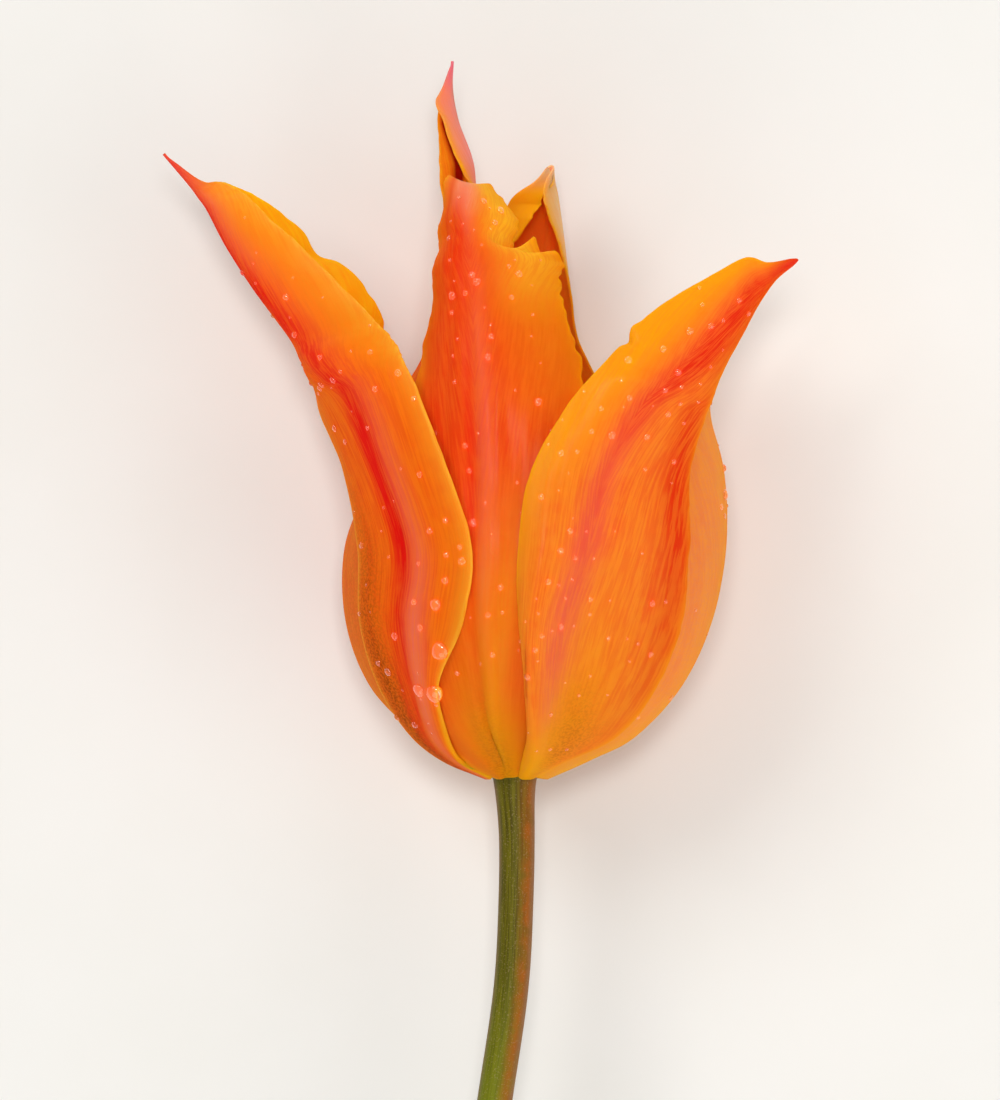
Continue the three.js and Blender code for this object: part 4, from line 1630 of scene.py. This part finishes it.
@dataclass
class Pistil:
    """The three-sided ovary under its stigma of three lobes."""

    height: float = 20.0
    ovary_radius: float = 3.0
    foot_radius: float = 1.7
    stigma_radius: float = 2.6
    stigma_lobe: float = 1.5
    corners: int = 72
    rings: int = 70

    def build(self) -> bpy.types.Object:
        """Builds the pistil: the radius follows a sine along the ovary, then opens into lobes.

        Returns:
            The pistil's object.
        """
        along = np.linspace(0.0, 1.0, self.rings)
        foot = RECEPTACLE_TOP + SEAT_GAP
        line = np.stack([BLOOM_LEAN * self.height * along, foot + self.height * along, 0 * along], -1)
        tube = Tube(line, self.corners)
        turn = ring_angles(self.corners)
        belly = np.sin(math.pi * np.minimum(along * 1.1, 1.0)) ** 0.8
        ovary = (self.foot_radius + (self.ovary_radius - self.foot_radius) * belly)[:, None]
        seam = 0.03 * np.exp(-((np.sin(1.5 * turn) / 0.15) ** 2))
        body = ovary * (1 + 0.08 * np.cos(3 * turn) - seam)
        crown = self.stigma_radius + self.stigma_lobe * np.cos(3 * turn) + 0.12 * np.cos(33 * turn)
        opened = smoothstep(along, 0.82, 0.93)[:, None]
        rounded = np.sqrt(np.maximum(1 - ((along - 0.95) / 0.051).clip(0, 1) ** 2, 0.02))[:, None]
        points = tube.points((body + (crown - body) * opened) * rounded)
        marks = {"rise": tube.per_point(smoothstep(along, 0.78, 0.9))}
        return build_object("pistil_fine", points, tube.faces(), marks)

    def dress(self, piece: bpy.types.Object) -> None:
        """Pale green ovary, cream stigma.

        Args:
            piece: the pistil's object.
        """
        skin = HeartSkin("#9DB45A", "#EFE0A4", 0.5, 0.5, 0.05)
        piece.data.materials.append(skin.material("ovary_skin_smooth"))
        declare(piece, "pistil")


@dataclass
class Stamens:
    """Six stamens in a ring: each a tapering filament that carries a long pollen sac."""

    count: int = 6
    ring: float = 2.75
    spread: float = 6.4
    first_azimuth: float = 14.0
    filament_length: float = 11.0
    filament_radius: float = 0.6
    filament_taper: float = 0.25
    filament_corners: int = 20
    filament_samples: int = 12
    anther_length: float = 11.0
    anther_end_radius: float = 0.3
    anther_bulge: float = 0.95
    anther_corners: int = 32
    anther_rings: int = 44

    def point(self, azimuth: float, radius: float, height: float) -> list[float]:
        """A point round the bloom's leaning axis, mm."""
        turn = math.radians(azimuth)
        return [BLOOM_LEAN * height + radius * math.sin(turn), height, radius * math.cos(turn)]

    def filament(self, number: int, azimuth: float) -> bpy.types.Object:
        """Builds a filament: it leans out from the ring and thins towards its top.

        Args:
            number: which stamen it is, from 1.
            azimuth: its direction round the bloom, degrees.

        Returns:
            The filament's object.
        """
        foot = RECEPTACLE_TOP + SEAT_GAP
        bend = self.ring + 0.45 * (self.spread - self.ring)
        route = np.array(
            [
                self.point(azimuth, self.ring, foot),
                self.point(azimuth, bend, foot + 0.4 * self.filament_length),
                self.point(azimuth, self.spread, foot + self.filament_length),
            ]
        )
        tube = Tube(stem_spline(route, self.filament_samples), self.filament_corners)
        along = np.linspace(0.0, 1.0, len(tube.line))
        points = tube.points(self.filament_radius - self.filament_taper * along)
        marks = {"rise": tube.per_point(along)}
        return build_object(f"filament_{number}_fine", points, tube.faces(), marks)

    def anther(self, number: int, azimuth: float) -> bpy.types.Object:
        """Builds a pollen sac: a long pod, grooved where its halves meet.

        Args:
            number: which stamen it is, from 1.
            azimuth: its direction round the bloom, degrees.

        Returns:
            The pollen sac's object.
        """
        shoulder = RECEPTACLE_TOP + 2 * SEAT_GAP + self.filament_length
        along = np.linspace(0.0, 1.0, self.anther_rings)
        low = np.array(self.point(azimuth, self.spread + 0.1, shoulder))
        high = np.array(self.point(azimuth, self.spread + 0.9, shoulder + self.anther_length))
        tube = Tube(low + (high - low) * along[:, None], self.anther_corners)
        turn = ring_angles(self.anther_corners)
        belly = self.anther_bulge * np.sin(math.pi * along) ** 0.4
        bulge = (self.anther_end_radius + belly)[:, None]
        groove = 0.16 * np.exp(-((np.cos(turn) / 0.22) ** 2))
        seam = 1 + 0.1 * np.cos(2 * turn) - groove
        marks = {"rise": tube.per_point(0.5 * along)}
        return build_object(f"anther_{number}_fine", tube.points(bulge * seam), tube.faces(), marks)

    def build(self) -> None:
        """Builds and dresses the six stamens."""
        stalk = HeartSkin("#E0CE6A", "#EBDD96", 0.5, 0.8, 0.03).material("filament_skin_smooth")
        pollen = HeartSkin("#3A2C20", "#6A5230", 0.9, 0.25, 0.12).material("anther_pollen_powdery")
        for number in range(1, self.count + 1):
            azimuth = self.first_azimuth + 360.0 * (number - 1) / self.count
            filament, anther = self.filament(number, azimuth), self.anther(number, azimuth)
            filament.data.materials.append(stalk)
            anther.data.materials.append(pollen)
            declare(filament, f"filament_{number}")
            declare(anther, f"anther_{number}")


# Water


@dataclass
class Drops:
    """Drops of water on the outer face of one petal: a few placed ones, each with its side, its
    place along the petal and its radius in mm, and many small ones scattered in a patch."""

    petal: Petal
    placed: tuple[Row, ...]
    scattered: int
    side_range: tuple[float, float]
    along_range: tuple[float, float]
    seed: int
    smallest: float = 0.16
    growth: float = 0.34  # how much bigger than the smallest a scattered drop may be, mm
    least_room: float = 0.8
    room: float = 3.6  # the widest gap that a drop may ask for, mm
    tries_each: int = 20
    plumpness: tuple[float, float] = (0.55, 0.8)  # height of a dome, as shares of its radius
    stretch: float = 0.3  # how much longer than wide the biggest drops may be
    lobing: float = 0.06
    rings: int = 4
    corners: int = 12
    sink: float = 0.1

    def spots(self) -> Array:
        """Side, along and radius of every drop: the placed ones, then a seeded draw that passes
        over each drop that would stand too close to one already there.

        Returns:
            One row for each drop.
        """
        draw = np.random.default_rng(self.seed)
        tries = self.tries_each * self.scattered
        side = draw.uniform(*self.side_range, tries)
        along = draw.uniform(*self.along_range, tries)
        radius = self.smallest + self.growth * draw.random(tries) ** 2.0
        small = np.stack([side, along, radius], axis=-1)
        room = draw.uniform(self.least_room, self.room, tries)
        chosen = [np.array(spot) for spot in self.placed]
        middles = [self.petal.sheet(spot[:1], spot[1:2])[0] for spot in chosen]
        for spot, middle, gap in zip(small, self.petal.sheet(side, along), room, strict=True):
            near = bool(middles) and np.linalg.norm(np.array(middles) - middle, axis=-1).min() < gap
            if not near and len(chosen) < self.scattered + len(self.placed):
                chosen.append(spot)
                middles.append(middle)
        return np.array(chosen)

    def build(self) -> bpy.types.Object:
        """Builds the drops: each a flattened dome, height times the root of 1 less the squared
        distance from its middle, a little longer down the petal, its foot sunk into the skin.

        Returns:
            One object holding all the drops of the petal.
        """
        side, along, radius = self.spots().T
        sheet = self.petal.sheet(side, along)
        out = outward(self.petal.sheet, side, along)
        centre = sheet + out * self.petal.half_thickness(side, along)[:, None]
        down = unit(sheet - self.petal.sheet(side, np.minimum(along + SLOPE_STEP, 1.0)))
        down = unit(down - out * (down * out).sum(axis=-1, keepdims=True))
        right = np.cross(down, out)
        draw = np.random.default_rng(self.seed + 1)
        stretch = 1.0 + self.stretch * draw.random(len(side)) * smoothstep(radius, 0.2, 0.9)
        wobble = draw.uniform(0, 2 * math.pi, len(side))
        plump = draw.uniform(*self.plumpness, len(side))
        turn = ring_angles(self.corners)
        lift = np.sin(np.linspace(0.0, math.pi / 2, self.rings + 1)[:-1])
        spread = np.sqrt(1.0 - lift**2)
        edge = radius[:, None] * (1 + self.lobing * np.cos(3 * turn + wobble[:, None]))
        reach = edge[:, None, :] * spread[None, :, None]
        x = reach * np.cos(turn)
        y = reach * np.sin(turn) * stretch[:, None, None]
        z = (plump * radius)[:, None, None] * lift[None, :, None] + 0 * x
        foot = np.stack([x[:, 0], y[:, 0], 0 * z[:, 0] - self.sink], axis=-1)[:, None]
        dome = np.concatenate([foot, np.stack([x, y, z], axis=-1)], axis=1)
        local = dome.reshape(len(side), -1, 3)
        crown = np.stack([0 * radius, 0 * radius, plump * radius], axis=-1)[:, None]
        base = np.stack([0 * radius, 0 * radius, 0 * radius - self.sink], axis=-1)[:, None]
        local = np.concatenate([local, crown, base], axis=1)
        axes = np.stack([right, down, out], axis=1)
        points = centre[:, None] + np.einsum("nki,nij->nkj", local, axes)
        repeats = [self.corners] * (self.rings + 1) + [1, 1]
        low = np.concatenate([[0.0], lift, [1.0, 0.0]]).repeat(repeats)
        # the foot mark darkens the colour towards each drop's rim: painted shade
        marks = {"foot": np.tile(1.0 - smoothstep(low, 0.0, 0.5), len(side))}
        name = f"drops_{self.petal.slot}"
        return build_object(name, points.reshape(-1, 3), self.faces(len(side)), marks)

    def faces(self, count: int) -> list[Array]:
        """The dome's grid, its crown and its foot, repeated for every drop.

        Args:
            count: how many drops.

        Returns:
            Arrays of vertex numbers, quads first.
        """
        size = (self.rings + 1) * self.corners + 2
        corner = np.arange(self.corners)
        ahead = (corner + 1) % self.corners
        top = self.rings * self.corners
        crown = np.stack([top + corner, top + ahead, np.full(self.corners, size - 2)], axis=-1)
        base = np.stack([ahead, corner, np.full(self.corners, size - 1)], axis=-1)
        grid = closed_grid_faces(self.rings + 1, self.corners)
        shift = (np.arange(count) * size)[:, None, None]
        return [(part[None] + shift).reshape(-1, part.shape[1]) for part in (grid, crown, base)]

    def dress(self, piece: bpy.types.Object, water: bpy.types.Material) -> None:
        """Makes the drops water and lets them ride on the flower.

        Args:
            piece: the petal's drops.
            water: the material that all drops share.
        """
        piece.data.materials.append(water)
        piece.visible_shadow = False  # so that the skin under a drop is lit, as through real water
        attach(piece, "root")
        log.info("%s: %d faces", piece.name, len(piece.data.polygons))


DROPS = (
    Drops(
        OUTER_LEFT,
        placed=(
            (0.62, 0.265, 0.7), (0.69, 0.286, 0.45), (0.69, 0.307, 0.35), (0.88, 0.302, 0.5),
            (0.87, 0.313, 0.35), (0.8, 0.222, 1.0), (0.87, 0.177, 0.95), (0.27, 0.181, 0.75),
            (0.43, 0.244, 0.4), (0.3, 0.267, 0.4), (0.53, 0.325, 0.4),
        ),
        scattered=75,
        side_range=(-0.97, 0.95),
        along_range=(0.1, 0.78),
        seed=101,
    ),
    Drops(INNER_FRONT, (), 70, side_range=(-0.5, 0.8), along_range=(0.2, 0.85), seed=202),
    Drops(OUTER_RIGHT, (), 80, side_range=(-0.95, 0.9), along_range=(0.12, 0.8), seed=303),
    Drops(
        INNER_RIGHT,
        placed=((-0.19, 0.52, 0.55), (-0.33, 0.505, 0.4)),
        scattered=20,
        side_range=(-0.6, 0.6),
        along_range=(0.2, 0.7),
        seed=404,
    ),
)


# The studio


class Lamp(Enum):
    """Soft lamps: where each stands, in metres, its side, its power in watts and its colour."""

    KEY = ((-0.42, 0.38, 0.75), 0.4, 2.9, "#FFFCF8")
    HIGH = ((0.0, 0.2, 2.0), 0.3, 12.4, "#FFFDFA")
    FILL = ((0.6, -0.35, 0.5), 0.8, 3.1, "#FFFDFA")
    FRONT = ((-0.15, -0.75, 0.4), 0.6, 1.8, "#FFFDFA")
    BACK = ((0.1, 0.75, 0.28), 0.5, 1.6, "#FFFCF8")


@dataclass
class Studio:
    """A plain pale floor, soft lamps and the camera that looks straight down on the bloom."""

    floor_half: float = 3.0
    lens: float = 800.0
    sensor: float = 36.0
    field_height: float = 0.121  # metres that the picture's height takes in
    focus_height: float = 0.025
    farthest: float = 20.0
    aim: tuple[float, float] = (-0.00395, -0.00025)
    sky: str = "#F4F3F0"
    sky_strength: float = 0.25

    def build(self) -> None:
        """Builds the floor, the lamps, the sky and the camera."""
        self.build_floor()
        for lamp in Lamp:
            self.build_lamp(lamp)
        world = bpy.data.worlds.new("studio_sky")
        world.use_nodes = True
        back = world.node_tree.nodes["Background"]
        back.inputs["Color"].default_value = linear(self.sky)
        back.inputs["Strength"].default_value = self.sky_strength
        bpy.context.scene.world = world
        bpy.context.scene.view_settings.view_transform = "Standard"
        self.build_camera()

    def build_floor(self) -> None:
        """One flat square that the flower lies on."""
        mesh = bpy.data.meshes.new("floor")
        h = self.floor_half
        mesh.from_pydata([(-h, -h, 0), (h, -h, 0), (h, h, 0), (-h, h, 0)], [], [(0, 1, 2, 3)])
        floor = bpy.data.objects.new("floor", mesh)
        bpy.context.scene.collection.objects.link(floor)
        floor.data.materials.append(PaleBoard().material())

    def build_lamp(self, lamp: Lamp) -> None:
        """A square area lamp that faces the bloom.

        Args:
            lamp: which of the lamps.
        """
        place, side, power, colour = lamp.value
        data = bpy.data.lights.new(f"lamp_{lamp.name.lower()}", "AREA")
        data.size = side
        data.energy = power
        data.color = linear(colour)[:3]
        light = bpy.data.objects.new(data.name, data)
        light.location = place
        light.rotation_euler = (-Vector(place)).to_track_quat("-Z", "Y").to_euler()
        bpy.context.scene.collection.objects.link(light)

    def build_camera(self) -> None:
        """Straight down, the bloom's tips towards the top of the picture."""
        data = bpy.data.cameras.new("camera")
        data.lens = self.lens
        data.sensor_width = self.sensor
        distance = self.lens * self.field_height / self.sensor
        data.clip_end = self.farthest
        camera = bpy.data.objects.new("camera", data)
        camera.location = (*self.aim, self.focus_height + distance)
        bpy.context.scene.collection.objects.link(camera)
        bpy.context.scene.camera = camera


def main() -> None:
    """Builds and dresses every piece, then the studio."""
    logging.basicConfig(level=logging.INFO, format="%(message)s")
    for petal in (OUTER_LEFT, INNER_FRONT, OUTER_RIGHT, INNER_RIGHT, OUTER_BACK, INNER_LEFT):
        petal.dress(petal.build())
    stem, pistil = Stem(), Pistil()
    stem.dress(stem.build())
    pistil.dress(pistil.build())
    Stamens().build()
    water = Water().material()
    for drops in DROPS:
        drops.dress(drops.build(), water)
    Studio().build()


if __name__ == "__main__":
    main()
